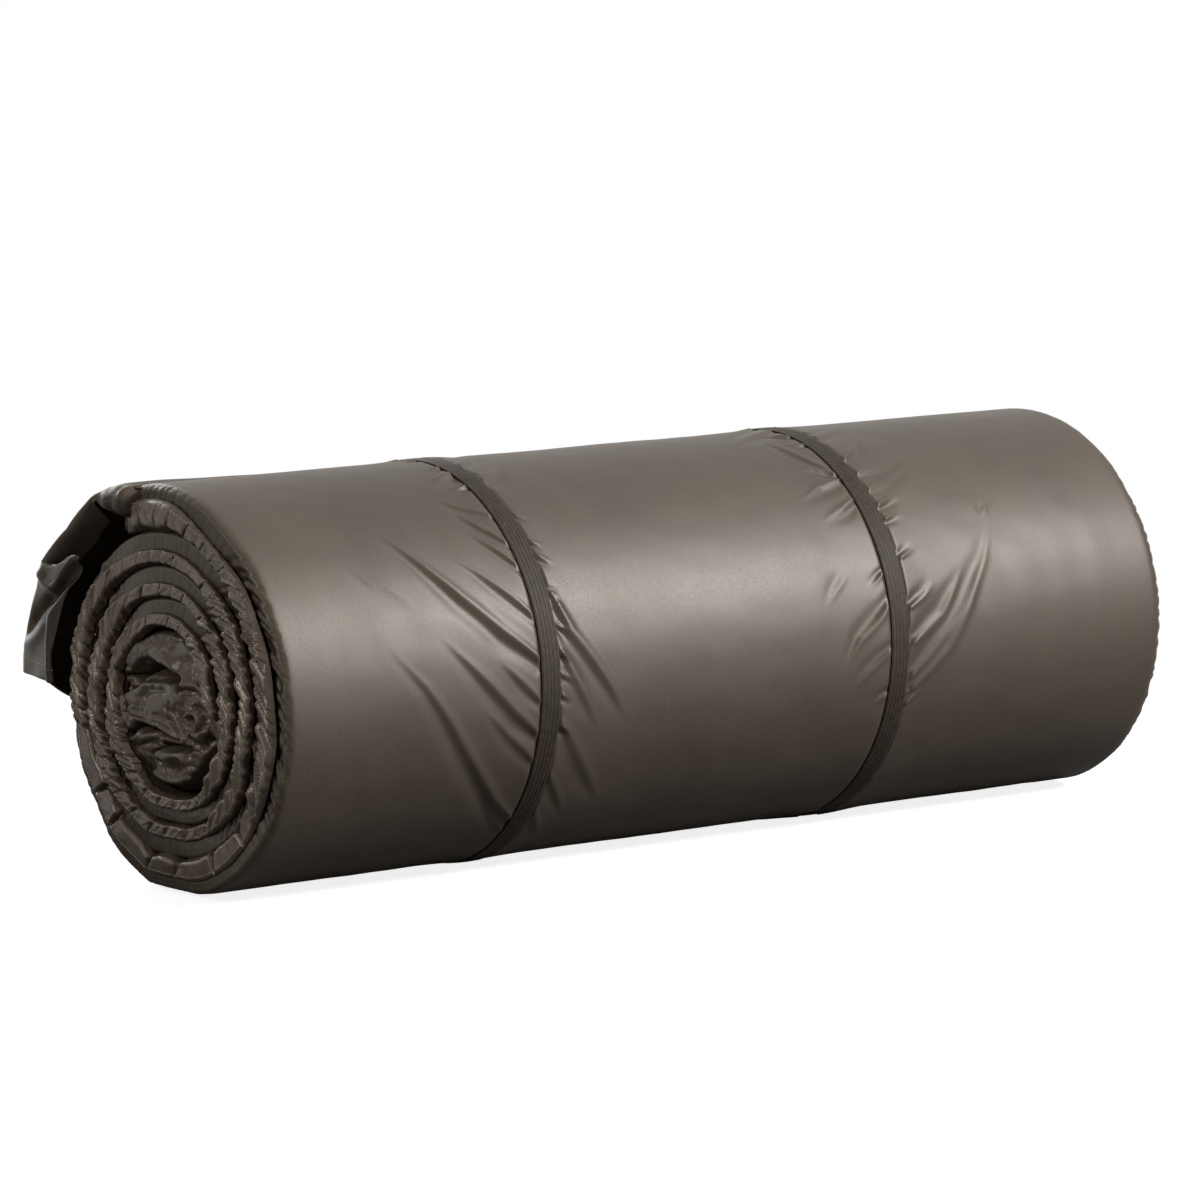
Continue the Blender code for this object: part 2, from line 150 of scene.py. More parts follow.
def gathers(along, pitch, seed):
    """Rounded ridges with sharp valleys, about a pitch apart, of uneven width and height, from 0 to 1."""
    phase = along / pitch + 0.42 * wander(along, 2.7 * pitch, seed)
    ridge = np.abs(np.sin(np.pi * phase)) ** 0.8
    return ridge * (0.68 + 0.32 * wander(along, 2.1 * pitch, seed + 1))


def creased(along, across, span, seed):
    """Crumpled relief with sharp valleys between soft swellings, from 0 to 1."""
    coarse = np.abs(ripple(along, across, span, seed))
    fine = np.abs(ripple(along + 0.3 * span * coarse, across, 0.45 * span, seed + 1))
    return np.clip(0.75 * coarse + 0.4 * fine, 0.0, 1.0)


# The winding as formulas


def turn_radius(angle):
    turns = (angle - END_ANGLE) / 360.0
    tightening = (OUTER_PITCH - INNER_PITCH) / (2.0 * TURNS)
    return END_RADIUS + OUTER_PITCH * turns + tightening * turns * turns


def wobble(angle):
    """How far the hidden turns leave the even spiral."""
    inner = smooth((LAST_TURN_START - angle) / 60.0)
    return 0.0014 * inner * wander(angle, 75.0, 11)


def base_radius(angle):
    return turn_radius(angle - 360.0) + wobble(angle - 360.0) + TURN_GAP


def top_radius(angle):
    lift = END_LIFT * smooth(1.0 + (angle - END_ANGLE) / END_LIFT_SPAN)
    return turn_radius(angle) + wobble(angle) + lift


def outermost_radius(angle):
    return turn_radius(END_ANGLE - (END_ANGLE - angle) % 360.0)


def rest_lift(angle, radius):
    """How far the roll's own weight pushes a point up, so that its lowest part lies flat."""
    outer = outermost_radius(angle)
    off_bottom = (angle + 270.0) % 360.0 - 180.0
    edge = math.radians(REST_HALF_ANGLE)
    flat_level = outermost_radius(-90.0 - REST_HALF_ANGLE) * math.cos(edge)
    held = np.clip(off_bottom, -REST_HALF_ANGLE, REST_HALF_ANGLE)
    lift = outermost_radius(-90.0 + held) * np.cos(np.radians(held)) - flat_level
    fade = 1.0 - smooth((np.abs(off_bottom) - REST_HALF_ANGLE) / REST_HALF_ANGLE)
    return np.maximum(lift, 0.0) * fade * (radius / outer) ** 2


def cad_axis():
    """Where the model's winding axis lies, read from the box of its outer sheet."""
    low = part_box("cover_top_sheet")[0]
    angle = END_ANGLE - CAD_STEP * np.arange(30)
    turn = np.radians(angle)
    y = -turn_radius(angle) * np.cos(turn)
    z = turn_radius(angle) * np.sin(turn) + rest_lift(angle, turn_radius(angle))
    return low.y - y.min(), low.z - z.min()


AXIS_Y, AXIS_Z = cad_axis()


def polar(x, angle, radius):
    """World points from places along the roll, angles and radii, as an array of (x, y, z)."""
    x, angle, radius = np.broadcast_arrays(x, angle, radius)
    turn = np.radians(angle)
    return np.stack([x, AXIS_Y - radius * np.cos(turn), AXIS_Z + radius * np.sin(turn)], axis=-1)


def on_roll(x, angle, radius):
    """The same for the wound mat, whose underside lies flat."""
    points = polar(x, angle, radius)
    points[..., 2] += rest_lift(angle, radius)
    return points


def nose_share(angle):
    """Share of its thickness that the padded mat keeps here: its two ends are rounded off."""
    ahead = np.radians(np.minimum(angle - START_ANGLE, END_ANGLE - angle)) * turn_radius(angle) / NOSE_LENGTH
    ahead = np.clip(ahead, 0.0, 1.0)
    return NOSE_END_SHARE + (1.0 - NOSE_END_SHARE) * np.sqrt(1.0 - (1.0 - ahead) ** 2)


def winding_stations():
    """Angles and seam lengths of the sections, evenly spaced along the spiral."""
    fine = np.linspace(START_ANGLE, END_ANGLE, 20001)
    middle = (top_radius(fine) + base_radius(fine)) / 2.0
    steps = np.radians(np.diff(fine)) * (middle[1:] + middle[:-1]) / 2.0
    length = np.concatenate([[0.0], np.cumsum(steps)])
    even = np.linspace(0.0, length[-1], round(length[-1] / STATION_SPACING) + 1)
    return np.interp(even, length, fine), even


ANGLES, LENGTHS = winding_stations()
LAST_TURN = int(np.searchsorted(ANGLES, LAST_TURN_START))


def convex(points):
    """Convex outline of points (y, z), anticlockwise."""

    def half(ordered):
        chain = []
        for p in ordered:
            while len(chain) > 1 and (
                (chain[-1][0] - chain[-2][0]) * (p[1] - chain[-2][1])
                <= (chain[-1][1] - chain[-2][1]) * (p[0] - chain[-2][0])
            ):
                chain.pop()
            chain.append(p)
        return chain[:-1]

    ordered = sorted(map(tuple, points))
    return np.array(half(ordered) + half(ordered[::-1]))


def roll_hull():
    """Polar angles and radii of the line that a tight wrap takes round the roll and its end."""
    angle = np.arange(LAST_TURN_START, END_ANGLE + 0.01, 0.25)
    base = base_radius(angle)
    radius = base + (top_radius(angle) - base) * nose_share(angle)
    outline = convex(on_roll(0.0, angle, radius)[:, 1:])
    dense = np.concatenate(
        [np.linspace(a, b, 40, endpoint=False) for a, b in zip(outline, np.roll(outline, -1, axis=0))]
    )
    y, z = dense[:, 0] - AXIS_Y, dense[:, 1] - AXIS_Z
    turned = np.degrees(np.arctan2(z, -y)) % 360.0
    order = np.argsort(turned)
    return turned[order], np.hypot(y, z)[order]


HULL_ANGLES, HULL_RADII = roll_hull()


def hull_radius(angle):
    return np.interp(np.asarray(angle, float) % 360.0, HULL_ANGLES, HULL_RADII, period=360.0)


# The relief that the loops draw in the cover.
# Each crease: depth and width in mm, +1 if its ridge lies above its groove or -1 if below, and its line from
# its far tip to the loop, as places along the roll in mm and angles.
CREASES = [
    (1.9, 4.4, 1, [(-235, 59), (-219, 49), (-206, 40), (-191, 31), (-169, 20), (-146, 11)]),
    (0.9, 2.4, 1, [(-177, 69), (-163, 62), (-144, 57)]),
    (0.9, 2.2, 1, [(-173, 63), (-157, 53), (-144, 46)]),
    (0.9, 2.2, 1, [(-172, 54), (-157, 46), (-144, 38)]),
    (1.1, 2.8, 1, [(-193, 46), (-176, 39), (-158, 30), (-145, 23)]),
    (1.7, 4.0, 1, [(-216, 23), (-203, 16), (-185, 7), (-165, -3), (-145, -11)]),
    (1.1, 2.8, 1, [(-176, 13), (-159, 5), (-146, -1)]),
    (1.8, 4.4, 1, [(-251, 23), (-243, 16), (-226, 7), (-214, -1), (-200, -11), (-183, -22), (-168, -31),
                   (-148, -40)]),
    (1.1, 3.0, 1, [(-190, 1), (-167, -10), (-146, -19)]),
    (0.9, 3.0, 1, [(-176, -31), (-144, -48)]),
    (0.4, 3.6, 1, [(-264, 46), (-245, 37), (-235, 32)]),
    (0.4, 3.4, 1, [(-252, 44), (-238, 36), (-222, 29)]),
    (1.0, 2.0, 1, [(-120, 54), (-131, 57)]),
    (1.1, 2.0, 1, [(-121, 44), (-131, 47)]),
    (1.1, 2.2, 1, [(-119, 38), (-131, 42)]),
    (1.0, 2.0, -1, [(-122, 29), (-132, 31)]),
    (1.2, 2.2, 1, [(-120, 17), (-132, 21)]),
    (1.2, 2.2, 1, [(-121, 9), (-133, 13)]),
    (1.2, 2.0, 1, [(-122, 4), (-134, 7)]),
    (1.1, 2.0, 1, [(-122, -2), (-134, 1)]),
    (1.0, 2.2, 1, [(-121, -12), (-134, -8)]),
    (1.7, 4.6, 1, [(-81, -12), (-89, -5), (-98, 2), (-110, 10), (-122, 18), (-128, 26)]),
    (1.2, 4.0, 1, [(-103, -12), (-119, 2), (-130, 12)]),
    (1.2, 4.6, 1, [(-83, -40), (-111, -22), (-131, -8)]),
    (1.0, 3.4, 1, [(-108, -42), (-137, -22)]),
    (0.8, 3.0, 1, [(-112, -56), (-136, -36)]),
    (1.0, 2.8, 1, [(90, 86), (101, 71), (111, 63)]),
    (1.1, 2.6, 1, [(86, 66), (102, 64), (113, 61)]),
    (1.2, 3.0, 1, [(74, 51), (96, 56), (113, 58)]),
    (1.1, 3.2, 1, [(81, 43), (102, 47), (114, 50)]),
    (0.6, 3.0, -1, [(63, 16), (74, 22), (89, 28)]),
    (1.3, 3.6, -1, [(73, -3), (88, 7), (102, 12), (113, 17)]),
    (0.9, 3.0, -1, [(80, -10), (94, -3), (111, 3)]),
    (0.8, 2.2, -1, [(98, 21), (113, 26)]),
    (0.8, 2.4, -1, [(98, -14), (112, -10)]),
    (1.3, 3.0, 1, [(156, 78), (146, 72), (131, 67)]),
    (1.3, 3.4, 1, [(181, 68), (149, 62), (130, 60)]),
    (1.0, 2.8, 1, [(171, 62), (146, 56), (129, 53)]),
    (1.1, 2.6, 1, [(152, 51), (129, 47)]),
    (1.0, 2.2, 1, [(144, 44), (129, 42)]),
    (0.9, 2.2, -1, [(144, 33), (129, 30)]),
    (1.6, 5.0, -1, [(208, 40), (192, 27), (170, 14), (151, 5), (129, -5)]),
    (1.4, 4.0, -1, [(176, 26), (152, 12), (130, 5)]),
    (1.0, 2.8, -1, [(152, 23), (140, 18), (128, 15)]),
    (1.2, 4.2, -1, [(189, 25), (175, 14), (156, 2), (130, -9)]),
    (0.8, 3.4, -1, [(168, -25), (147, -35), (124, -44)]),
    (0.8, 2.4, -1, [(138, -9), (126, -14)]),
    (0.5, 2.6, -1, [(213, 47), (203, 40)]),
]
CREASE_RADIUS = 0.1155
CREASE_REACH = 4.8
SHORT_CREASE = 0.018
DEEPEST_CREASE = -0.0028
HIGHEST_CREASE = 0.0016
HELD_HALF_WIDTH = 0.0057
HELD_FADE = 0.0030
BULGE_BESIDE_LOOPS = 0.0010


# The puckers drawn at random, long and short: reaches, depths and widths in mm
LONG_PUCKER_SHARE = 0.35
LONG_PUCKER = {"reach": (22.0, 62.0), "depth": (1.1, 1.7), "width": (3.0, 4.6)}
SHORT_PUCKER = {"reach": (9.0, 17.0), "depth": (0.8, 1.3), "width": (1.9, 2.6)}
PUCKER_SPACING = (5.0, 11.0)
# The stretches of each loop that the list doesn't reach: angles from and to
UNLISTED_LEFT = ((-244.0, -62.0), (66.0, 112.0))
UNLISTED_RIGHT = ((-244.0, -52.0), (74.0, 112.0))


def loose_creases():
    """Puckers on the stretches of both loops that the list doesn't reach, drawn at random."""
    draw = np.random.default_rng(7)
    found = []
    for middle, rows in ((1000.0 * STRAP_LEFT_X, UNLISTED_LEFT), (1000.0 * STRAP_RIGHT_X, UNLISTED_RIGHT)):
        for side in (-1.0, 1.0):
            for first, last in rows:
                angle = first + draw.uniform(0.0, 6.0)
                while angle < last:
                    long = draw.uniform() < LONG_PUCKER_SHARE
                    kind = LONG_PUCKER if long else SHORT_PUCKER
                    reach = draw.uniform(*kind["reach"])
                    slope = -side * draw.uniform(0.15, 0.5) if long else draw.uniform(-0.35, 0.35)
                    start = middle + side * 6.0
                    tip = (start + side * reach, angle - slope * reach)
                    half = (start + side * 0.5 * reach, angle - slope * 0.42 * reach)
                    depth = draw.uniform(*kind["depth"])
                    width = draw.uniform(*kind["width"])
                    found.append((depth, width, 1, [tip, half, (start, angle)]))
                    angle += draw.uniform(*PUCKER_SPACING)
    return found


def crease(x, along, depth, width, ridge_side, line):
    """Relief of one crease at cloth places x and along: the cells it reaches, and heights in metres."""
    points = np.array([(0.001 * px, math.radians(angle) * CREASE_RADIUS) for px, angle in line])
    reach = 0.001 * CREASE_REACH * width
    low, high = points.min(axis=0) - reach, points.max(axis=0) + reach
    rows = np.flatnonzero((along[:, 0] > low[1]) & (along[:, 0] < high[1]))
    columns = np.flatnonzero((x[0] > low[0]) & (x[0] < high[0]))
    if not len(rows) or not len(columns):
        return None
    here = np.ix_(rows, columns)
    px, pa = x[here], along[here]
    chord = points[-1] - points[0]
    up = np.array([-chord[1], chord[0]])
    up = up / np.linalg.norm(up) * (1.0 if up[1] >= 0.0 else -1.0) * ridge_side
    steps = np.linalg.norm(np.diff(points, axis=0), axis=1)
    before = np.concatenate([[0.0], np.cumsum(steps)])
    nearest = np.full(px.shape, 1.0)
    signed, share = np.zeros(px.shape), np.zeros(px.shape)
    for k, (a, b) in enumerate(zip(points[:-1], points[1:])):
        way = (b - a) / steps[k]
        across = np.array([-way[1], way[0]])
        across = across * (1.0 if across @ up >= 0.0 else -1.0)
        forward = np.clip((px - a[0]) * way[0] + (pa - a[1]) * way[1], 0.0, steps[k])
        off_x, off_a = px - a[0] - forward * way[0], pa - a[1] - forward * way[1]
        gap = np.hypot(off_x, off_a)
        closer = gap < nearest
        nearest = np.where(closer, gap, nearest)
        side = off_x * across[0] + off_a * across[1]
        signed = np.where(closer, np.where(side >= 0.0, gap, -gap), signed)
        share = np.where(closer, (before[k] + forward) / before[-1], share)
    short = 1.0 - smooth((before[-1] - SHORT_CREASE) / 0.03)
    long_width = (0.5 + 0.75 * smooth(share / 0.6)) * (1.0 - 0.3 * smooth((share - 0.75) / 0.25))
    wide = 0.001 * width * (long_width * (1.0 - short) + (1.35 - 0.55 * share) * short)
    height = 0.66 * bell(signed - 0.30 * wide, 0.64 * wide) - 0.62 * bell(signed + 0.95 * wide, 1.05 * wide)
    off_loop = min(abs(points[-1][0] - STRAP_LEFT_X), abs(points[-1][0] - STRAP_RIGHT_X))
    end = smooth((1.0 - share) / 0.5) if off_loop > 0.014 else 1.0
    strength = depth * (1.0 + 0.8 * short) * smooth(share / (0.5 + 0.5 * short)) * (0.6 + 0.4 * share)
    return here, 0.001 * strength * height * end


def strap_lean(x, angle):
    """How far a loop strays along the roll on its way round."""
    left = 0.0028 * np.sin(np.radians(angle - 25.0)) - 0.0006
    right = 0.0038 * np.sin(np.radians(angle - 28.0))
    return np.where(np.asarray(x) < 0.0, left, right)


def cover_relief(x, angle, under_loops=0.0):
    """Push of the cover's outer face, in metres, at a grid of places: x by columns and angles by rows."""
    turned = (angle - LAST_TURN_START) % 360.0 + LAST_TURN_START
    x, turned = np.broadcast_arrays(x[None, :], turned[:, None])
    along = np.radians(turned) * CREASE_RADIUS
    relief = 0.00020 * ripple(x, along, 0.085, 3) + 0.00008 * ripple(x, along, 0.028, 4)
    for one in CREASES + loose_creases():
        for shift in (0.0, 360.0):
            moved = [(px, a - shift) for px, a in one[3]]
            drawn = crease(x, along, *one[:3], moved)
            if drawn:
                relief[drawn[0]] += drawn[1]
    relief = np.clip(relief, DEEPEST_CREASE, HIGHEST_CREASE)
    for middle in (STRAP_LEFT_X, STRAP_RIGHT_X):
        off = np.abs(x - middle - strap_lean(middle, turned))
        held = 1.0 - smooth((off - HELD_HALF_WIDTH) / HELD_FADE)
        relief = (relief + BULGE_BESIDE_LOOPS * bell(off, 0.022)) * (1.0 - held) + under_loops * held
    return relief


# Meshes


def new_object(name, points, faces):
    mesh = bpy.data.meshes.new(name)
    mesh.from_pydata(np.asarray(points, float).tolist(), [], faces)
    mesh.update()
    obj = bpy.data.objects.new(name, mesh)
    bpy.context.scene.collection.objects.link(obj)
    return obj


def finished(obj, material, places=None):
    """Turns the faces outwards, shades them smooth, and gives the cloth's own lengths as a UV map."""
    mesh = bmesh.new()
    mesh.from_mesh(obj.data)
    bmesh.ops.recalc_face_normals(mesh, faces=mesh.faces)
    mesh.to_mesh(obj.data)
    mesh.free()
    obj.data.shade_smooth()
    if places is not None:
        corner = np.empty(len(obj.data.loops), int)
        obj.data.loops.foreach_get("vertex_index", corner)
        layer = obj.data.uv_layers.new(name="cloth")
        layer.data.foreach_set("uv", places.reshape(-1, 2)[corner].astype(np.float32).ravel())
    obj.data.materials.append(material)
    return obj


def grid_faces(rows, columns, first=0, close_columns=False):
    """Quads of a grid of vertices numbered row by row."""
    r = np.arange(rows - 1)[:, None]
    c = np.arange(columns if close_columns else columns - 1)[None, :]
    here, right = r * columns + c, r * columns + (c + 1) % columns
    quads = np.stack([here, right, right + columns, here + columns], axis=-1).reshape(-1, 4) + first
    return quads.tolist()


def normals(points):
    """Unit normals of a grid of points."""
    down, across = np.gradient(points, axis=0), np.gradient(points, axis=1)
    normal = np.cross(across, down)
    return normal / np.maximum(np.linalg.norm(normal, axis=-1, keepdims=True), 1e-12)


def grid_lengths(points):
    """Cloth places of a grid of points: lengths along its middle row and its middle column."""
    rows, columns = points.shape[:2]
    along = np.linalg.norm(np.diff(points[rows // 2], axis=0), axis=1)
    down = np.linalg.norm(np.diff(points[:, columns // 2], axis=0), axis=1)
    u, v = np.meshgrid(np.concatenate([[0.0], np.cumsum(along)]), np.concatenate([[0.0], np.cumsum(down)]))
    return np.stack([u, v], axis=-1)


def cloth(name, points, thickness, material):
    """Closed sheet of cloth with a rounded border, from a grid of points of its middle."""
    rows, columns = points.shape[:2]
    half = np.broadcast_to(np.asarray(thickness) / 2.0, (rows, columns))[..., None]
    normal = normals(points)
    upper, lower = points + normal * half, points - normal * half
    top, bottom = np.arange(columns), np.arange(columns) + (rows - 1) * columns
    left, right = np.arange(1, rows - 1) * columns, np.arange(1, rows - 1) * columns + columns - 1
    border = np.concatenate([top, right, bottom[::-1], left[::-1]])
    inward = np.concatenate(
        [top + columns, right - 1, (bottom - columns)[::-1], (left + 1)[::-1]]
    )
    flat = points.reshape(-1, 3)
    out = flat[border] - flat[inward]
    out = out / np.linalg.norm(out, axis=1, keepdims=True)
    rim = flat[border] + out * half.reshape(-1, 1)[border]
    count = rows * columns
    faces = grid_faces(rows, columns) + grid_faces(rows, columns, count)
    for k in range(len(border)):
        n = (k + 1) % len(border)
        rim_here, rim_next = 2 * count + k, 2 * count + n
        faces.append((int(border[k]), int(border[n]), rim_next, rim_here))
        faces.append((rim_here, rim_next, int(border[n]) + count, int(border[k]) + count))
    every = np.concatenate([upper.reshape(-1, 3), lower.reshape(-1, 3), rim])
    places = grid_lengths(points).reshape(-1, 2)
    obj = new_object(name, every, faces)
    return finished(obj, material, np.concatenate([places, places, places[border]]))


# Node trees written as expressions


class Wire:
    """A socket inside a node tree, which ordinary arithmetic can be written on."""

    def __init__(self, graph, socket):
        self.graph, self.socket = graph, socket

    def maths(self, operation, *others):
        return self.graph.node("ShaderNodeMath", {"operation": operation}, self, *others)

    def __add__(self, other):
        return self.maths("ADD", other)

    def __sub__(self, other):
        return self.maths("SUBTRACT", other)

    def __mul__(self, other):
        return self.maths("MULTIPLY", other)

    def __rsub__(self, other):
        return self.graph.node("ShaderNodeMath", {"operation": "SUBTRACT"}, other, self)

    __radd__ = __add__
    __rmul__ = __mul__

    def __pow__(self, other):
        return self.maths("POWER", other)

    def between(self, low, high):
        """0 below low, 1 above high, and a smooth step from one to the other."""
        named = {"Value": self, "From Min": low, "From Max": high}
        return self.graph.node("ShaderNodeMapRange", {"interpolation_type": "SMOOTHSTEP"}, **named)


class Graph:
    """A node tree and the ways to add to it."""

    def __init__(self, tree):
        self.tree = tree

    def feed(self, socket, value):
        if isinstance(value, Wire):
            self.tree.links.new(value.socket, socket)
        else:
            socket.default_value = value

    def node(self, kind, settings=None, *values, output=0, **named):
        """Adds a node, sets it up, feeds its sockets by order or by name, and gives one of its outputs."""
        node = self.tree.nodes.new(kind)
        for key, value in (settings or {}).items():
            setattr(node, key, value)
        for key, value in list(enumerate(values)) + list(named.items()):
            self.feed(node.inputs[key], value)
        return Wire(self, node.outputs[output])

    def parts(self, vector):
        node = self.tree.nodes.new("ShaderNodeSeparateXYZ")
        self.feed(node.inputs[0], vector)
        return [Wire(self, output) for output in node.outputs]


class Finish(Graph):
    """One material and its nodes."""

    def __init__(self, name):
        self.material = bpy.data.materials.new(name)
        self.material.use_nodes = True
        super().__init__(self.material.node_tree)
        self.shader = self.tree.nodes["Principled BSDF"]

    def mixed(self, share, first, second):
        """Colour between two colours."""
        node = self.tree.nodes.new("ShaderNodeMix")
        node.data_type = "RGBA"
        for socket, value in zip((node.inputs[0], node.inputs[6], node.inputs[7]), (share, first, second)):
            self.feed(socket, value)
        return Wire(self, node.outputs[2])

    def noise(self, where, scale, detail=2.0, roughness=0.5):
        values = {"Vector": where, "Scale": scale, "Detail": detail, "Roughness": roughness}
        return self.node("ShaderNodeTexNoise", None, **values)

    def place(self):
        return self.node("ShaderNodeTexCoord", output="Object")

    def cloth_places(self):
        return self.node("ShaderNodeUVMap", {"uv_map": "cloth"})

    def surface(self, **named):
        for key, value in named.items():
            self.feed(self.shader.inputs[key.replace("_", " ")], value)

    def bump(self, height, distance, strength=1.0):
        return self.node("ShaderNodeBump", None, Height=height, Distance=distance, Strength=strength)


class Recipe(Graph):
    """A geometry node tree with named sizes, which grows a plain mesh from a line."""

    def __init__(self, name, **sizes):
        super().__init__(bpy.data.node_groups.new(name, "GeometryNodeTree"))
        kinds = {int: "NodeSocketInt", float: "NodeSocketFloat"}
        face = self.tree.interface
        face.new_socket("Line", in_out="INPUT", socket_type="NodeSocketGeometry")
        self.sizes = {
            face.new_socket(label, in_out="INPUT", socket_type=kinds[type(value)]).identifier: value
            for label, value in sizes.items()
        }
        face.new_socket("Mesh", in_out="OUTPUT", socket_type="NodeSocketGeometry")
        self.given = self.tree.nodes.new("NodeGroupInput")
        self.line = Wire(self, self.given.outputs["Line"])

    def size(self, label):
        return Wire(self, self.given.outputs[label])

    def grow(self, name, points, material, result, closed=False):
        """Runs the tree on a line through the points and bakes what it makes."""
        real = self.node("GeometryNodeRealizeInstances", None, result)
        painted = self.node("GeometryNodeSetMaterial", None, real, Material=material)
        self.feed(self.tree.nodes.new("NodeGroupOutput").inputs[0], painted)
        mesh = bpy.data.meshes.new(name + "_line")
        count = len(points)
        edges = [(k, (k + 1) % count) for k in range(count if closed else count - 1)]
        mesh.from_pydata(np.asarray(points, float).tolist(), edges, [])
        source = bpy.data.objects.new(name + "_line", mesh)
        bpy.context.scene.collection.objects.link(source)
        modifier = source.modifiers.new("grow", "NODES")
        modifier.node_group = self.tree
        for identifier, value in self.sizes.items():
            modifier[identifier] = value
        evaluated = source.evaluated_get(bpy.context.evaluated_depsgraph_get())
        grown = bpy.data.objects.new(name, bpy.data.meshes.new_from_object(evaluated))
        bpy.context.scene.collection.objects.link(grown)
        bpy.data.objects.remove(source)
        grown.data.shade_smooth()
        return grown


# Finishes

WEAVE_PITCH = 0.0006
WEAVE_DEPTH = 0.00005
SATIN_TINT = (1.0, 0.94, 0.86, 1.0)
GATHERED_TINT = (1.0, 0.85, 0.71, 1.0)
SATIN_IOR = 1.3
GATHERED_IOR = 1.5
SATIN_STRETCH = 0.78
COVER_COLOURS = ((0.043, 0.031, 0.020, 1.0), (0.064, 0.046, 0.030, 1.0))
HEM_COLOURS = ((0.037, 0.0262, 0.0175, 1.0), (0.070, 0.0505, 0.0350, 1.0))
LINING_COLOURS = ((0.033, 0.0234, 0.0156, 1.0), (0.058, 0.0415, 0.0285, 1.0))
WEBBING_COLOURS = ((0.014, 0.0104, 0.0074, 1.0), (0.041, 0.0297, 0.0210, 1.0))
THREAD_COLOURS = ((0.24, 0.20, 0.163, 1.0), (0.40, 0.34, 0.28, 1.0))
# The walls at the roll's end and at the flap's corner, by the cloth's place along the roll. Their colours
# are darker: the end walls partly as a duller cloth and partly as painted shade of their recess behind the
# hems, and the flap corner's wall wholly as painted shade.
WALL_START = 0.3215
WALL_CLOTH_AND_SHADE_COLOUR = (0.037, 0.0265, 0.0182, 1.0)
FLAP_WALL_START = -0.0175
# Painted shade: the flap corner's wall is darkened to stand for the shade it lies in
FLAP_WALL_SHADE_COLOUR = (0.0160, 0.0115, 0.0080, 1.0)
WALL_FADE = 0.003


def satin(name, colours, roughness, gloss, tint, ior, creases=0.0, flap=False):
    """Polyester satin: a fine weave on the cloth's own lengths, whose gloss spreads along the winding; its
    walls are darker, partly as painted shade.
    """
    finish = Finish(name)
    across, along = finish.parts(finish.cloth_places())[:2]
    warp = (across * (2.0 * math.pi / WEAVE_PITCH)).maths("SINE")
    weft = (along * (2.0 * math.pi / WEAVE_PITCH)).maths("SINE")
    place = finish.place()
    threads = finish.noise(place, 1100.0, 2.0, 0.7)
    mottle = finish.noise(place, 16.0, 3.0, 0.55)
    folds = (finish.noise(place, 125.0, 0.6, 0.4) - 0.5).maths("ABSOLUTE")
    weave = warp * 0.08 + weft * 0.08 + threads * 1.8 + folds * creases
    shade = (mottle * 0.45 + threads * 0.55).between(0.3, 0.72)
    outward = across * -1.0 if flap else across.maths("ABSOLUTE")
    start = FLAP_WALL_START if flap else WALL_START
    # Painted shade: the walls get a darker colour, for the end walls partly a duller cloth
    wall = outward.between(start, start + WALL_FADE)
    wall_cloth_and_shade_colour = FLAP_WALL_SHADE_COLOUR if flap else WALL_CLOTH_AND_SHADE_COLOUR
    finish.surface(
        Base_Color=finish.mixed(wall, finish.mixed(shade, *colours), wall_cloth_and_shade_colour),
        Roughness=(mottle - 0.5) * 0.06 + (threads - 0.5) * 0.16 + wall * 0.12 + roughness,
        Specular_IOR_Level=gloss,
        Specular_Tint=tint,
        IOR=ior,
        Anisotropic=SATIN_STRETCH,
        Anisotropic_Rotation=0.25,
        Tangent=finish.node("ShaderNodeTangent", {"direction_type": "UV_MAP", "uv_map": "cloth"}),
        Normal=finish.bump(weave, WEAVE_DEPTH, 0.6),
    )
    return finish.material


def webbing():
    """Knitted elastic: fine cross threads over its ribs."""
    finish = Finish("elastic_webbing")
    place = finish.place()
    knit = finish.noise(place, 1500.0, 2.0, 0.6)
    mottle = finish.noise(place, 300.0, 2.0, 0.6)
    finish.surface(
        Base_Color=finish.mixed((knit * 0.5 + mottle * 0.5).between(0.35, 0.65), *WEBBING_COLOURS),
        Roughness=(knit - 0.5) * 0.3 + 0.6,
        Specular_IOR_Level=0.28,
        Specular_Tint=SATIN_TINT,
        Normal=finish.bump(knit, 0.0002, 0.7),
    )
    return finish.material


def thread():
    finish = Finish("thread")
    twist = finish.noise(finish.place(), 2500.0, 1.0, 0.5)
    finish.surface(
        Base_Color=finish.mixed(twist, *THREAD_COLOURS),
        Roughness=0.5,
        Normal=finish.bump(twist, 0.00008, 0.5),
    )
    return finish.material


def finishes():
    return {
        "cover": satin("cover_satin", COVER_COLOURS, 0.40, 0.86, SATIN_TINT, SATIN_IOR),
        "flap": satin("cover_satin_flap", COVER_COLOURS, 0.42, 0.60, GATHERED_TINT, SATIN_IOR, flap=True),
        "hem": satin("hem_fabric", HEM_COLOURS, 0.33, 0.58, GATHERED_TINT, GATHERED_IOR, 5.0),
        "lining": satin("cover_lining", LINING_COLOURS, 0.36, 0.42, GATHERED_TINT, GATHERED_IOR, 6.0),
        "webbing": webbing(),
        "thread": thread(),
    }


# The padded mat

FLAT_INSETS = (0.022, 0.0172, 0.0128, 0.009, 0.0057, 0.0027)
BASE_INSETS = (0.004, 0.012)
ROUND_COLUMNS = 35
BESIDE_LOOP = 0.016
FINEST_COLUMNS = 0.0010
FINE_COLUMNS = 0.0016
PLAIN_COLUMNS = 0.006


def round_section(lean):
    """How far a rounded edge stands out and how far it rises at a cut, as shares from 0 to 1 and -1 to 1."""
    power = 2.0 / RIM_FULLNESS
    return np.maximum(np.cos(lean), 0.0) ** power, np.sign(np.sin(lean)) * np.abs(np.sin(lean)) ** power


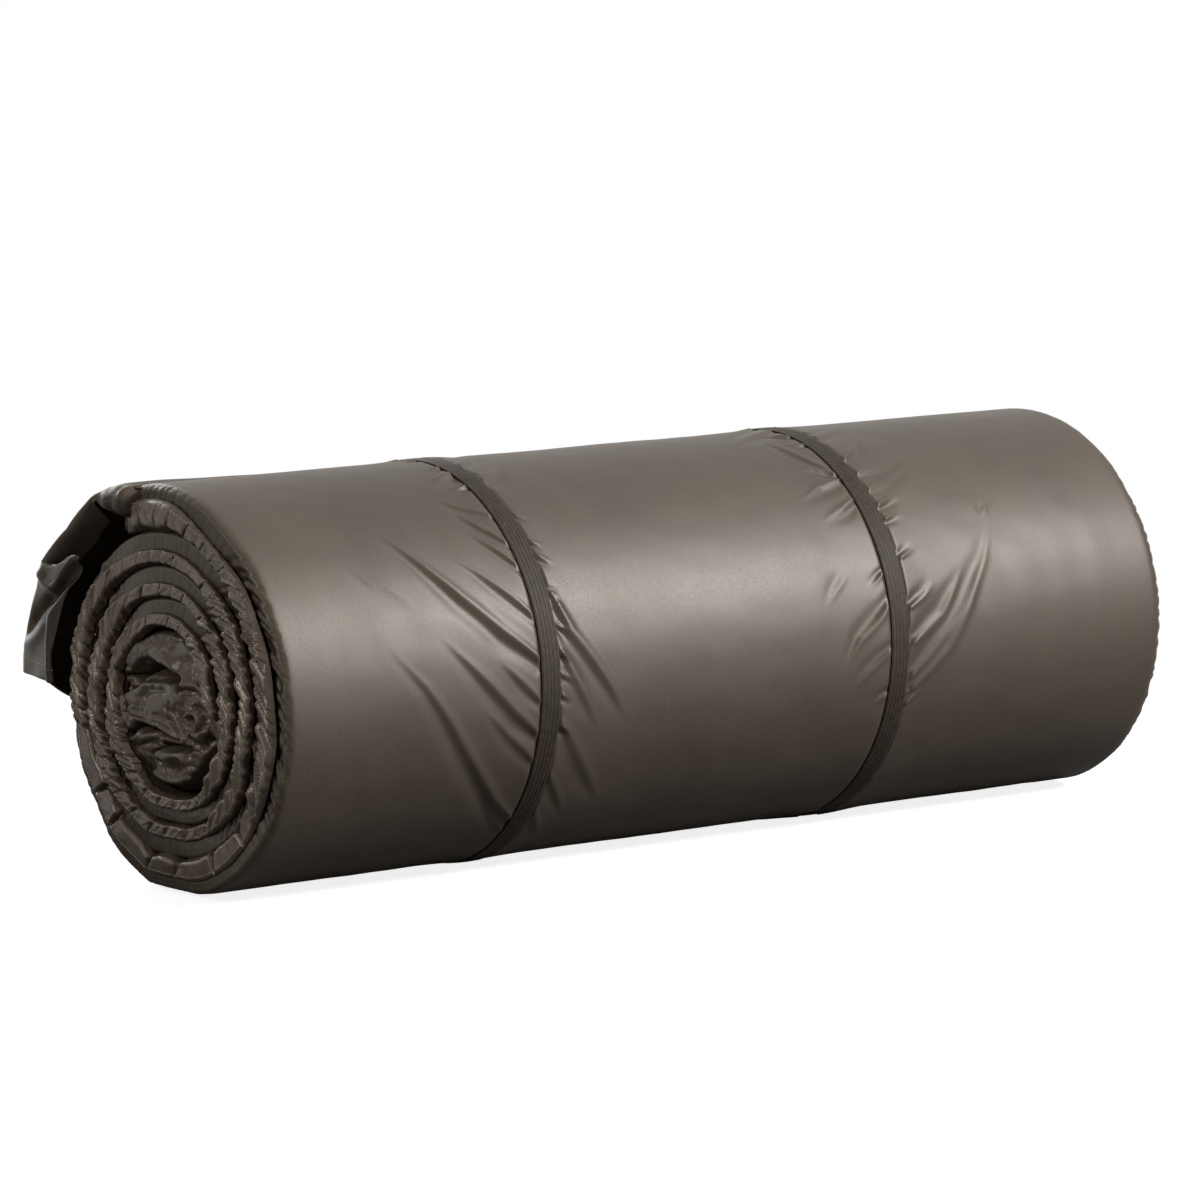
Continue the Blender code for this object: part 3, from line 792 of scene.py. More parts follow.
def even_cuts(count):
    """Cut angles evenly spaced along a rounded edge of middle size, and their distances from its middle."""
    lean = np.radians(np.linspace(90.0, -90.0, 4001))
    bulge, rise = round_section(lean)
    steps = np.hypot(np.diff(EDGE_ROUND * bulge), np.diff(0.0105 * rise))
    along = np.concatenate([[0.0], np.cumsum(steps)])
    even = np.linspace(0.0, along[-1], count)
    return np.interp(even, along, lean), even - along[-1] / 2.0


ROUND_CUTS, ROUND_PLACES = even_cuts(ROUND_COLUMNS)
RIM_LENGTH = float(ROUND_PLACES[-1])


def edge_places():
    """Places across one edge, from the outer face to the inner: (inset from the rounding, cut, place)."""
    return (
        [(inset, math.pi / 2.0, -RIM_LENGTH - inset) for inset in FLAT_INSETS]
        + [(0.0, float(cut), float(place)) for cut, place in zip(ROUND_CUTS, ROUND_PLACES)]
        + [(inset, -math.pi / 2.0, RIM_LENGTH + inset) for inset in BASE_INSETS]
    )


def column_spacing(x):
    near = min(abs(x - STRAP_LEFT_X), abs(x - STRAP_RIGHT_X))
    if near < BESIDE_LOOP:
        return FINEST_COLUMNS
    return FINE_COLUMNS if -0.262 < x < -0.078 or 0.055 < x < 0.215 else PLAIN_COLUMNS


def middle_columns():
    """Places along the roll between its two edges: close together where the loops pucker the cover."""
    edge = MAT_END - EDGE_ROUND - FLAT_INSETS[0]
    places = [-edge]
    while places[-1] < edge:
        places.append(places[-1] + column_spacing(places[-1]))
    places = np.array(places)
    return -edge + (places + edge) * (2.0 * edge / (places[-1] + edge))


def sides_strength(angle):
    """The seam is gathered most at the roll's front and back, and lies flat at its top and bottom."""
    return 0.12 + 0.88 * smooth((np.abs(np.cos(np.radians(angle))) - 0.42) / 0.42)


def end_place(side):
    """How far along the roll each station's seam lies: turns end unevenly, and the first ones are sunk."""
    seed = 15 if side < 0 else 16
    stagger = TURN_STAGGER * (0.5 - 0.5 * wander(LENGTHS, 0.21, seed))
    stagger = stagger + 0.0007 * wander(LENGTHS, 0.05, seed + 2)
    sunk = CORE_SINK * (1.0 - smooth((ANGLES - CORE_SINK_END) / 80.0))
    outermost = smooth((ANGLES - LAST_TURN_START + 20.0) / 60.0) * (1.0 if side > 0 else 0.0)
    return MAT_END - np.maximum(stagger, 0.0) * (1.0 - outermost) - sunk + RIGHT_END_STANDS_OUT * outermost


# The gathered cloth over a rim: depths, pitches and reaches, in metres
RIM_STRAND_DEPTH = 0.0042
RIM_STREAK_DEPTH = 0.0003
RIM_STREAK_PITCH = 0.0023
RIM_CRUMPLE_DEPTH = 0.0007
RIM_CRUMPLE_SPAN = 0.016
RIM_GATHERS_START = 0.0065
RIM_GATHERS_FADE = 0.0080
RIM_LIFT = 0.0010
SEAM_DENT = 0.0012
SEAM_DENT_START = 0.0055
SEAM_DENT_FADE = 0.004


def rim_push(place, side, outer_room):
    """Push of the gathered cloth at a place across the edge, in metres outwards, at every station."""
    distance = abs(place)
    seed = 20 if side < 0 else 40
    upward = 1.0 if place <= 0.0 else -1.0
    steep = np.maximum(sides_strength(ANGLES), 0.6 * bell(END_ANGLE - 10.0 - ANGLES, 22.0))
    if place <= 0.0:
        steep = steep * (1.0 - 0.8 * facets_share()) * (1.0 if side < 0 else 0.4)
    line = LENGTHS + upward * RIM_SLANT * distance * steep
    strands = gathers(line, STRAND_PITCH, seed + 1)
    streaks = gathers(LENGTHS + 0.12 * distance, RIM_STREAK_PITCH, seed + 5)
    crumple = creased(line, distance, RIM_CRUMPLE_SPAN, seed + 11)
    reach = RIM_GATHERS_FADE * (1.0 + 0.15 * wander(LENGTHS, 0.012, seed + 7))
    fade = 1.0 - smooth((distance - RIM_GATHERS_START) / reach)
    push = -RIM_STRAND_DEPTH * steep * fade * (1.0 - strands) - RIM_STREAK_DEPTH * fade * (1.0 - streaks)
    push = push - RIM_CRUMPLE_DEPTH * fade * (1.0 - crumple) * (0.3 + 0.7 * steep)
    broad = wander(LENGTHS + 0.4 * distance, 0.033, seed + 9)
    lifted = np.minimum(outer_room, RIM_LIFT) * fade * (0.6 + 0.3 * broad)
    return push + lifted - SEAM_DENT * (1.0 - smooth((distance - SEAM_DENT_START) / SEAM_DENT_FADE))


def rim_columns(side):
    """Places, radii and cloth places of one edge's columns at every station, from outer to inner face."""
    share = nose_share(ANGLES)
    base = base_radius(ANGLES)
    top = base + (top_radius(ANGLES) - base) * share
    middle, half = (top + base) / 2.0, (top - base) / 2.0
    place = end_place(side)
    outside = (ANGLES > -150.0) & (ANGLES < 94.0)
    columns = []
    for inset, lean, across in edge_places():
        bulge, rise = (float(value) for value in round_section(lean))
        room = np.where(outside & (across < 0.0), 0.0014, 0.45 * half * (1.0 - abs(rise)))
        push = rim_push(across, side, room)
        out = place - EDGE_ROUND - inset + EDGE_ROUND * bulge + push * math.cos(lean)
        radius = middle + half * rise + push * math.sin(lean)
        columns.append((side * out, radius, side * (MAT_END - EDGE_ROUND + RIM_LENGTH + across)))
    return columns


def padded_mat(material):
    """The whole padded mat as one closed skin, fine over its rims and over the turn that shows."""
    left, right = rim_columns(-1.0), rim_columns(1.0)
    base = base_radius(ANGLES)
    top = base + (top_radius(ANGLES) - base) * nose_share(ANGLES)
    places = middle_columns()[1:-1]
    hollow = np.clip(hull_radius(ANGLES) - top, 0.0, 0.002) * (ANGLES > -150.0) - 0.0001
    relief = cover_relief(places, ANGLES[LAST_TURN:], hollow[LAST_TURN:, None])
    middle = []
    for k, x in enumerate(places):
        radius = top.copy()
        radius[LAST_TURN:] += relief[:, k]
        middle.append((np.full(len(ANGLES), x), radius, x))
    under = [(np.full(len(ANGLES), x), base, -MAT_WIDTH - x) for x in (0.2, 0.0, -0.2)]
    ring = left[::-1] + middle + right + under
    first, last = len(left), len(left) + len(middle)
    kept = np.linspace(first, last - 1, 5).round().astype(int).tolist()
    coarse = list(range(first)) + kept + list(range(last, len(ring)))
    size, count = len(ring), len(ANGLES)
    points = np.stack([on_roll(x, ANGLES, radius) for x, radius, u in ring], axis=1)
    maps = np.stack([np.stack([np.full(count, u), LENGTHS], axis=-1) for x, radius, u in ring], axis=1)
    faces = []
    for row in range(count - 1):
        here = coarse if row < LAST_TURN else list(range(size))
        pairs = list(zip(here, here[1:] + here[:1]))
        start = row * size
        if row == LAST_TURN - 1:
            for a, b in pairs:
                between = list(range(b, a, -1)) if b > a else [b]
                faces.append([start + a, start + b] + [start + size + k for k in between + [a]])
        else:
            faces += [(start + a, start + b, start + size + b, start + size + a) for a, b in pairs]
    faces.append(coarse[::-1])
    faces.append([(count - 1) * size + k for k in range(size)])
    obj = new_object("padded_mat", points.reshape(-1, 3), faces)
    finished(obj, material, maps)
    mesh = bmesh.new()
    mesh.from_mesh(obj.data)
    bmesh.ops.delete(mesh, geom=[v for v in mesh.verts if not v.link_faces], context="VERTS")
    bmesh.ops.triangulate(mesh, faces=[f for f in mesh.faces if len(f.verts) > 6])
    mesh.to_mesh(obj.data)
    mesh.free()
    return obj


# Hems


def hem_profile():
    """Places round a hem's section: share of its depth from the seam, and side: -1 behind, 1 in front."""
    shares = (0.0, 0.05, 0.1, 0.16, 0.23, 0.31, 0.4, 0.49, 0.58, 0.67, 0.75, 0.82, 0.88, 0.93, 0.97)
    return [(s, 1.0) for s in shares] + [(1.0, 0.0)] + [(s, -1.0) for s in shares[::-1]]


def facets_share():
    """1 under the roll on its last turn, where the hem lies flat in long facets, and 0 elsewhere."""
    return smooth((ANGLES + 174.0) / 16.0) * (1.0 - smooth((ANGLES + 44.0) / 26.0))


# The hem's tucks, facets and gathers: pitches, depths and reaches, in metres
TUCK_PITCH = 0.0125
FACET_EXTRA_PITCH = 0.0185
SLACK_EXTRA_PITCH = 0.0045
TUCK_MOUTH = 0.0004
TUCK_OPENING = 0.0012
FACET_OPENING = 0.0030
TUCK_DEPTH = 0.0040
FACET_TUCK_DEPTH = 0.0034
FACET_ROOT = 0.0080
HEM_PUFF = 0.0015
BOX_TILT = 0.0018
STRAND_HEIGHT = 0.0034
FRONT_STRAND_HEIGHT = 0.0014
PUFFED_END_HEIGHT = 0.0034
HEM_CRUMPLE_HEIGHT = 0.0009
HEM_CRUMPLE_SPAN = 0.017
END_SUNK = 0.012
START_SUNK = 0.004
RIGHT_HEM_HIDDEN = 0.0030
FACET_CHORD = 0.0018
TUCK_CHORD = 0.0022
STRAND_CHORD = 0.0008


def hem_middle(side, share):
    """Place along the roll and radius of a hem's middle surface at every station, and its depth there."""
    seed = 60 if side < 0 else 80
    base, top = base_radius(ANGLES), top_radius(ANGLES)
    room = top - base
    flat = facets_share()
    steep = sides_strength(ANGLES) * (1.0 - 0.9 * flat)
    puffed = smooth((ANGLES - 66.0) / 24.0)
    root = (FACET_ROOT * flat + (0.60 - 0.24 * steep) * room * (1.0 - flat)) * (1.0 - 0.45 * puffed)
    depth = (room - root + 0.0012) * (1.0 + 0.06 * wander(LENGTHS, 0.035, seed))
    pitch = TUCK_PITCH + FACET_EXTRA_PITCH * flat + SLACK_EXTRA_PITCH * (1.0 - steep)
    phase = np.cumsum(STATION_SPACING / pitch) + (0.45 - 0.25 * flat) * wander(LENGTHS, 0.07, seed + 1)
    phase = phase - (0.25 + 0.8 * steep) * share * depth / pitch
    part = phase - np.floor(phase)
    mouth = TUCK_MOUTH + (TUCK_OPENING + FACET_OPENING * flat) * share
    tuck = (1.0 - smooth(np.minimum(part, 1.0 - part) * pitch / mouth)) * smooth(share / 0.2)
    strands = gathers(LENGTHS - STRAND_SLANT * share * depth, STRAND_PITCH, seed + 5)
    slanted = LENGTHS - 0.8 * steep * share * depth
    crumple = creased(slanted, share * depth, HEM_CRUMPLE_SPAN, seed + 8)
    front = smooth(0.5 + np.cos(np.radians(ANGLES)))
    swell = HEM_PUFF + BOX_TILT * (part - 0.4) * share
    swell = swell + (STRAND_HEIGHT + FRONT_STRAND_HEIGHT * front) * steep * strands
    swell = swell + PUFFED_END_HEIGHT * puffed * np.sin(np.pi * np.minimum(share, 1.0) ** 0.8)
    swell = swell - (TUCK_DEPTH + FACET_TUCK_DEPTH * flat) * tuck * (1.0 - 0.75 * steep)
    swell = swell + HEM_CRUMPLE_HEIGHT * (crumple - 0.45) * (1.0 - 0.6 * flat)
    swell = swell * smooth(share / 0.12 + 0.15)
    left = LENGTHS[-1] - LENGTHS
    curl = HEM_CURL * smooth((share - 0.74) / 0.26) ** 1.3
    sunk = END_SUNK * (1.0 - smooth((left - 0.004) / 0.010)) + START_SUNK * (1.0 - smooth(LENGTHS / 0.02))
    hidden = RIGHT_HEM_HIDDEN * smooth((ANGLES - LAST_TURN_START) / 40.0) * (1.0 if side > 0 else 0.0)
    out = end_place(side) - 0.0008 + swell - curl - sunk - hidden
    chord = TUCK_CHORD * tuck - FACET_CHORD * flat * 4.0 * part * (1.0 - part)
    chord = chord - STRAND_CHORD * steep * (strands - 0.4)
    return side * out, top - root - share * depth + chord * share, depth


def hem(name, side, material):
    """Folded strip sewn along the seam, which stands off the roll's end in tucks."""
    columns, places = [], []
    for share, face in hem_profile():
        x, radius, depth = hem_middle(side, share)
        swell = HEM_THICKNESS * (0.45 + 0.55 * smooth(share / 0.12)) / 2.0
        swell = swell * (1.0 + 0.3 * bell(share - 0.93, 0.08))
        columns.append(on_roll(x + side * face * swell, ANGLES, radius))
        places.append(np.stack([share * depth * (face or 1.0), LENGTHS], axis=-1))
    points = np.stack(columns, axis=1)
    rows, size = points.shape[:2]
    faces = grid_faces(rows, size, close_columns=True)
    faces += [list(range(size))[::-1], [(rows - 1) * size + k for k in range(size)]]
    return finished(new_object(name, points.reshape(-1, 3), faces), material, np.stack(places, axis=1))


def hem_stitch_line(side):
    """The line of stitches on a hem's outer face, a little in from the seam."""
    depth = hem_middle(side, 0.0)[2]
    x, radius, depth = hem_middle(side, 0.0022 / depth)
    return on_roll(x + side * 0.62 * HEM_THICKNESS, ANGLES, radius)


def stitches(name, line, material, pitch=STITCH_PITCH, half_length=0.00085):
    """A row of stitches along a line."""
    made = Recipe("stitch_row", Pitch=pitch, Thread=STITCH_THREAD, Stitch=half_length)
    curve = made.node("GeometryNodeMeshToCurve", None, made.line)
    spaced = made.node("GeometryNodeResampleCurve", {"mode": "LENGTH"}, curve, Length=made.size("Pitch"))
    tangent = made.node("GeometryNodeInputTangent")
    turned = made.node("FunctionNodeAlignRotationToVector", {"axis": "Z"}, Vector=tangent)
    grain = made.node("GeometryNodeMeshUVSphere", None, Segments=6, Rings=4, Radius=1.0)
    thick = made.size("Thread")
    size = made.node("ShaderNodeCombineXYZ", None, thick, thick, made.size("Stitch"))
    copies = {"Instance": grain, "Rotation": turned, "Scale": size}
    placed = made.node("GeometryNodeInstanceOnPoints", None, spaced, **copies)
    return made.grow(name, line, material, placed)


# The flap

# The loose corner's edge as the photograph shows it: angles and radii in metres
LOOSE_EDGE = np.array([
    (103.5, 0.1226), (105.5, 0.1250), (108.5, 0.1277), (118.5, 0.1312), (125.6, 0.1329), (137.9, 0.1345),
    (146.0, 0.1400), (152.0, 0.1446), (159.0, 0.1436), (172.0, 0.1486), (180.5, 0.1488),
    (190.0, 0.1470), (215.0, 0.1400),
])


def path_by_length(angle, radius, lengths):
    """Angles and radii at the given lengths along a polar line."""
    turn = np.radians(angle)
    steps = np.hypot(np.diff(radius), np.diff(turn) * (radius[1:] + radius[:-1]) / 2.0)
    along = np.concatenate([[0.0], np.cumsum(steps)])
    return np.interp(lengths, along, angle), np.interp(lengths, along, radius)


def corner_share(x):
    """0 where the flap lies on the roll, and 1 at the free edge of its loose corner."""
    return smooth(1.15 * np.clip((STRAP_LEFT_X - 0.011 - x) / (CORNER_WIDTH + 0.001), 0.0, 1.0))


def flap_columns():
    places = [-MAT_END + FLAP_EDGE_INSET]
    while places[-1] < MAT_END - 0.001:
        x = places[-1]
        near = min(abs(x - STRAP_LEFT_X), abs(x - STRAP_RIGHT_X))
        places.append(x + (0.0013 if near < 0.018 else 0.0024 if x < -0.09 or 0.07 < x < 0.17 else 0.006))
    places[-1] = MAT_END
    return np.array(places)


# How far the corner's side wall reaches in from its edge, in mm, and the line of its upper border, which is
# folded: angles by the depth
WALL_REACH = np.array([
    (104.0, 17.0), (106.5, 22.0), (109.6, 22.0), (115.3, 16.5), (119.5, 9.0), (121.0, 3.5), (123.5, 3.5),
    (127.0, 13.0), (136.0, 13.5), (151.6, 14.0), (152.6, 36.0), (166.0, 40.0), (178.0, 44.0), (196.0, 45.0),
])
WALL_TOP = np.array([
    (0.0, 153.2), (12.0, 150.6), (21.0, 147.0), (26.0, 142.5), (30.0, 138.0), (46.0, 132.0),
])
WALL_RADIUS = 0.130
# Folds of the wall: outward height and width in mm, and lines as (angle, mm in from its edge)
WALL_FOLDS = [
    (3.6, 2.4, [(154.0, 1.0), (156.5, 11.0), (159.1, 22.5), (158.6, 27.5), (154.0, 33.0)]),
    (-6.0, 4.4, [(170.0, 0.0), (165.5, 9.5), (161.8, 18.0), (162.0, 31.0), (156.5, 38.0)]),
    (3.0, 3.2, [(161.0, 35.0), (164.0, 34.0), (166.0, 32.0), (168.5, 35.0), (172.5, 39.5), (180.0, 41.0)]),
    (1.6, 4.0, [(173.0, 2.0), (171.5, 13.0), (168.0, 25.0)]),
]


def wall_relief(angle, depth):
    """Push of the corner's side wall towards the left, in metres."""
    arc = np.radians(angle) * WALL_RADIUS
    total = 0.0008 * ripple(arc, depth, 0.030, 91)
    for height, width, line in WALL_FOLDS:
        points = np.array([(math.radians(a) * WALL_RADIUS, 0.001 * d) for a, d in line])
        nearest = np.full(total.shape, 1.0)
        for a, b in zip(points[:-1], points[1:]):
            way = b - a
            share = np.clip(((arc - a[0]) * way[0] + (depth - a[1]) * way[1]) / (way @ way), 0.0, 1.0)
            off_arc, off_depth = arc - a[0] - share * way[0], depth - a[1] - share * way[1]
            nearest = np.minimum(nearest, np.hypot(off_arc, off_depth))
        total = total + 0.001 * height * bell(nearest, 0.001 * width)
    return total


# Where the flap's edge and its side wall lie along the roll, and how the wall swells and recedes, in metres
FLAP_EDGE_INSET = 0.0022
WALL_STANDS_OUT = 0.003
WALL_BULGE = 0.0085
WALL_JOIN = 0.004
WALL_JOIN_TUCK = 0.008
BULGE_TUCK = 0.007
WALL_FLARE = 0.006
WALL_RECESS = 0.016
WALL_RECESS_DEPTH = 0.014


def corner_wall(angle, radius, lengths):
    """Points of the corner's side wall, by its rows and from its edge inwards."""
    depths = np.concatenate([[0.021, 0.056], np.linspace(0.1, 1.0, 30)])[None, :]
    angle, radius, lengths = angle[:, None], radius[:, None], lengths[:, None]
    deep = depths * 0.001 * np.interp(angle, WALL_REACH[:, 0], WALL_REACH[:, 1])
    rise = np.interp(1000.0 * deep, WALL_TOP[:, 0], WALL_TOP[:, 1]) - WALL_TOP[0, 1]
    folded = np.where(angle > 151.8, 1.0 - smooth((angle - 152.5) / 24.0), 0.0)
    start = 1.0 - smooth((angle - 112.0) / 8.0)
    bulge = WALL_BULGE * np.sin(np.pi * np.minimum(depths, 1.0) ** 0.8)
    bulge = bulge + 0.0012 * ripple(deep, lengths, 0.012, 97)
    push = wall_relief(angle, deep) * smooth(deep / 0.006) * smooth(lengths / 0.02)
    push = push + start * smooth(lengths / WALL_JOIN) * bulge
    out = np.array([WALL_STANDS_OUT / 2.0, 0.0026] + [WALL_STANDS_OUT] * 30)[None, :]
    receding = smooth((angle - 122.0) / 3.0) * (1.0 - smooth((angle - 150.6) / 1.6))
    tucked = BULGE_TUCK * start * smooth((depths - 0.7) / 0.3)
    tucked = tucked - WALL_FLARE * smooth(deep / CORNER_WALL_DEPTH) * (1.0 - start)
    tucked = tucked + WALL_RECESS * receding * np.minimum(deep / WALL_RECESS_DEPTH, 1.0) ** 1.6
    tucked = tucked + WALL_JOIN_TUCK * (1.0 - smooth(lengths / WALL_JOIN))
    return polar(-MAT_END + FLAP_EDGE_INSET - out - push + tucked, angle + rise * folded, radius - deep)


def flap(material):
    """The cover's unpadded tail over the roll's back, with its loose left corner and that corner's wall."""
    lengths = np.linspace(0.0, TAIL_LENGTH, 136)
    x = flap_columns()
    along, down = x[None, :], lengths[:, None]
    share = corner_share(along)
    sag = 0.10 * smooth((along + 0.323) / 0.034) * smooth(share / 0.4)
    longer = down * (1.0 + sag)
    dense = np.arange(TAIL_START_ANGLE, 262.0, 0.25)
    lie = CLEARANCE + TAIL_THICKNESS / 2.0
    sunk = TAIL_ROOT_DEPTH * (1.0 - smooth((dense - TAIL_START_ANGLE) / 9.0))
    held_angle, held_radius = path_by_length(dense, hull_radius(dense) + lie - sunk, longer)
    free = np.arange(TAIL_START_ANGLE, 215.0, 0.25)
    radius = np.interp(free, LOOSE_EDGE[:, 0], LOOSE_EDGE[:, 1])
    free_angle, free_radius = path_by_length(free, radius, longer)
    held = polar(0.0, held_angle, held_radius)[..., 1:]
    loose = polar(0.0, free_angle, free_radius)[..., 1:]
    middle = np.concatenate([np.broadcast_to(x[None, :, None], (len(lengths), len(x), 1)),
                             held + (loose - held) * share[..., None]], axis=-1)
    relief = cover_relief(x, held_angle[:, -1]) * (1.0 - share)
    hang = share * (1.0 - share) * 4.0
    relief = relief + 0.0030 * hang * ripple(along, down, 0.06, 93) * smooth(down / 0.05)
    relief = relief + 0.0012 * share * ripple(along, down, 0.045, 94) * smooth(down / 0.04)
    turn = np.radians(held_angle)
    outward = np.stack([np.zeros_like(turn), -np.cos(turn), np.sin(turn)], axis=-1)
    middle = middle + relief[..., None] * outward
    wall = corner_wall(free_angle[:, 0], free_radius[:, 0], lengths)
    points = np.concatenate([wall[:, ::-1], middle], axis=1)
    hemmed = smooth((down - TAIL_LENGTH + TAIL_HEM) / 0.001)
    obj = cloth("cover_flap", points, TAIL_THICKNESS * (1.0 + 0.7 * hemmed), material)
    row = int(np.searchsorted(lengths, TAIL_LENGTH - TAIL_SEAM))
    seam = points + normals(points) * (0.62 * TAIL_THICKNESS + 0.0002)
    return obj, seam[row]


LINING_THICKNESS = 0.0009
# The unpadded start of the cover, crumpled into the middle of the roll: (y, z) in mm from the winding axis
CORE_LINE = [
    (17.5, -21.0), (26.0, -14.5), (31.0, -4.0), (30.5, 7.0), (24.0, 17.0), (14.0, 23.5), (3.0, 25.0),
    (-8.0, 21.5), (-16.5, 14.5), (-21.5, 5.0), (-20.0, -6.0), (-13.5, -13.5), (-4.5, -16.5), (6.0, -15.5),
    (15.0, -11.0), (21.0, -3.0), (19.5, 5.5), (12.0, 11.0), (2.0, 12.0), (-7.5, 9.0), (-13.0, 1.5),
    (-9.0, -6.5), (0.0, -9.0), (8.0, -5.5), (10.0, 0.0),
]


def rounded(points, step):
    """A smooth line through the points, with even steps."""
    points = np.asarray(points, float)
    padded = np.concatenate([[2 * points[0] - points[1]], points, [2 * points[-1] - points[-2]]])
    pieces = []
    for k in range(len(points) - 1):
        a, b, c, d = padded[k:k + 4]
        t = np.linspace(0.0, 1.0, 24, endpoint=False)[:, None]
        square, cube = (2 * a - 5 * b + 4 * c - d) * t**2, (3 * b - a - 3 * c + d) * t**3
        pieces.append(0.5 * (2 * b + (c - a) * t + square + cube))
    line = np.concatenate(pieces + [points[-1:]])
    along = np.concatenate([[0.0], np.cumsum(np.linalg.norm(np.diff(line, axis=0), axis=1))])
    even = np.linspace(0.0, along[-1], round(along[-1] / step) + 1)
    return np.stack([np.interp(even, along, line[:, k]) for k in range(line.shape[1])], axis=1), even


# The bunched cloth that shows in the middle of each end: height and width in mm, and lines as (y, z) in mm
# from the winding axis. Broad swellings come first, then folds, hems and gaps.
BUNCH_FORMS = [
    (4.2, 5.2, [(51.0, 15.0), (45.0, 22.0), (38.0, 28.0), (28.0, 31.0), (17.0, 31.0), (6.0, 27.0),
                (-4.0, 21.0)]),
    (-15.0, 3.2, [(36.0, 12.0), (30.0, 15.0), (21.0, 17.5), (8.0, 17.5), (-4.0, 15.5), (-10.0, 13.0)]),
    (-6.0, 1.5, [(58.0, 12.5), (46.0, 12.5), (36.0, 13.0)]),
    (2.0, 6.0, [(12.0, -3.0), (-6.0, 2.0)]),
    (-2.4, 3.4, [(24.5, 0.7), (18.0, 5.0), (5.0, 8.5)]),
    (1.9, 2.0, [(21.0, -4.0), (14.0, 0.0), (7.0, 4.6)]),
    (1.6, 1.2, [(43.0, -6.9), (23.8, -9.9), (4.4, -14.7), (-19.6, -20.7)]),
    (-1.5, 1.1, [(40.0, -9.6), (20.0, -12.4), (3.0, -16.4), (-18.0, -21.0)]),
    (1.4, 1.0, [(24.0, -6.6), (2.0, -11.2), (-19.0, -19.6)]),
    (-1.4, 1.0, [(12.0, -6.0), (0.0, -9.4), (-17.0, -18.6)]),
    (1.5, 1.2, [(2.0, -4.0), (-6.0, -8.0), (-16.0, -17.0)]),
    (-1.4, 1.2, [(-4.0, 2.0), (-9.0, -5.0), (-16.0, -15.0)]),
    (-7.5, 1.9, [(50.0, -18.0), (43.7, -20.7), (33.8, -16.9), (17.4, -16.6), (-1.9, -20.7), (-19.6, -22.5)]),
    (3.2, 2.4, [(42.0, -24.0), (34.0, -21.0), (22.0, -21.0)]),
    (-8.0, 2.0, [(20.0, -31.5), (14.0, -27.0), (9.5, -24.8), (-5.1, -24.4), (-19.6, -22.9)]),
    (3.4, 2.2, [(16.0, -33.0), (9.0, -29.0), (-3.0, -28.0), (-14.0, -27.0)]),
    (3.0, 2.4, [(-14.7, -29.5), (-19.3, -38.0)]),
    (-3.6, 4.0, [(37.0, -36.0), (18.0, -38.0), (-12.0, -37.0)]),
    (2.6, 1.5, [(-18.3, -4.6), (-20.5, -1.6), (-24.5, -0.9), (-28.7, -5.1), (-26.0, -10.4),
                (-21.0, -11.2), (-18.2, -8.0)]),
    (-6.0, 2.0, [(-23.1, -5.8), (-23.6, -6.2)]),
    (-5.0, 1.6, [(-28.1, 8.8), (-29.4, 8.0)]),
    (3.0, 2.2, [(-13.0, 14.0), (-24.9, 13.0), (-32.2, 7.0), (-38.0, 2.0)]),
    (2.4, 1.8, [(-20.0, -12.0), (-27.0, -16.0), (-33.0, -12.0)]),
    (-4.5, 1.6, [(-20.0, -15.0), (-30.0, -20.0), (-36.0, -16.0)]),
    (2.6, 2.0, [(52.0, 4.0), (46.0, -4.0), (45.0, -12.0)]),
    (-4.5, 1.5, [(47.0, 5.0), (41.0, -1.0), (39.0, -7.0)]),
]
# Folds that lie over the cloth beside them: height and reach in mm, and lines that they lie to the left of
BUNCH_LIPS = [
    (5.5, 13.0, [(46.0, 0.0), (34.3, 4.9), (21.1, 10.2), (8.1, 13.1), (-3.3, 13.2), (-13.0, 10.5)]),
    (3.4, 9.0, [(-19.0, -21.5), (-1.9, -19.6), (17.4, -15.4), (33.8, -15.7), (42.0, -19.0)]),
    (3.2, 7.0, [(34.0, -27.0), (22.0, -24.5), (9.5, -26.0), (-5.0, -25.6), (-18.0, -24.0)]),
    (3.0, 7.0, [(-11.0, 15.0), (-1.0, 19.5), (11.0, 24.6), (21.0, 24.4), (31.0, 21.4), (38.0, 17.0)]),
]
BUNCH_CENTRE = (0.006, -0.003)
BUNCH_RADIUS = 0.047
BUNCH_GRID = 150
# Its crumples, in metres: mean level below the roll's end, then heights and spans
BUNCH_LEVEL = -0.0062
BUNCH_HIGHEST = -0.0006
BUNCH_BORDER_SUNK = 0.012
CRUMPLE_HEIGHT = 0.0022
CRUMPLE_SPAN = 0.02
LOBE_HEIGHT = 0.0022
KNOT_HEIGHT = 0.0036
KNOT_SPAN = 0.011
LINE_WAVER = 0.0011
LINE_WAVER_SPAN = 0.014
SIDE_SLIP = 0.0016
LIP_EDGE = 0.0005


def line_distance(y, z, line):
    """Distance of points from a line given in mm: above 0 to the left of its way, below 0 to the right."""
    points = 0.001 * np.array(line)
    nearest = np.full(y.shape, 1.0)
    signed = np.full(y.shape, 1.0)
    for a, b in zip(points[:-1], points[1:]):
        way = b - a
        share = np.clip(((y - a[0]) * way[0] + (z - a[1]) * way[1]) / (way @ way), 0.0, 1.0)
        gap = np.hypot(y - a[0] - share * way[0], z - a[1] - share * way[1])
        left = way[0] * (z - a[1]) - way[1] * (y - a[0]) >= 0.0
        closer = gap < nearest
        nearest = np.where(closer, gap, nearest)
        signed = np.where(closer, np.where(left, gap, -gap), signed)
    return signed


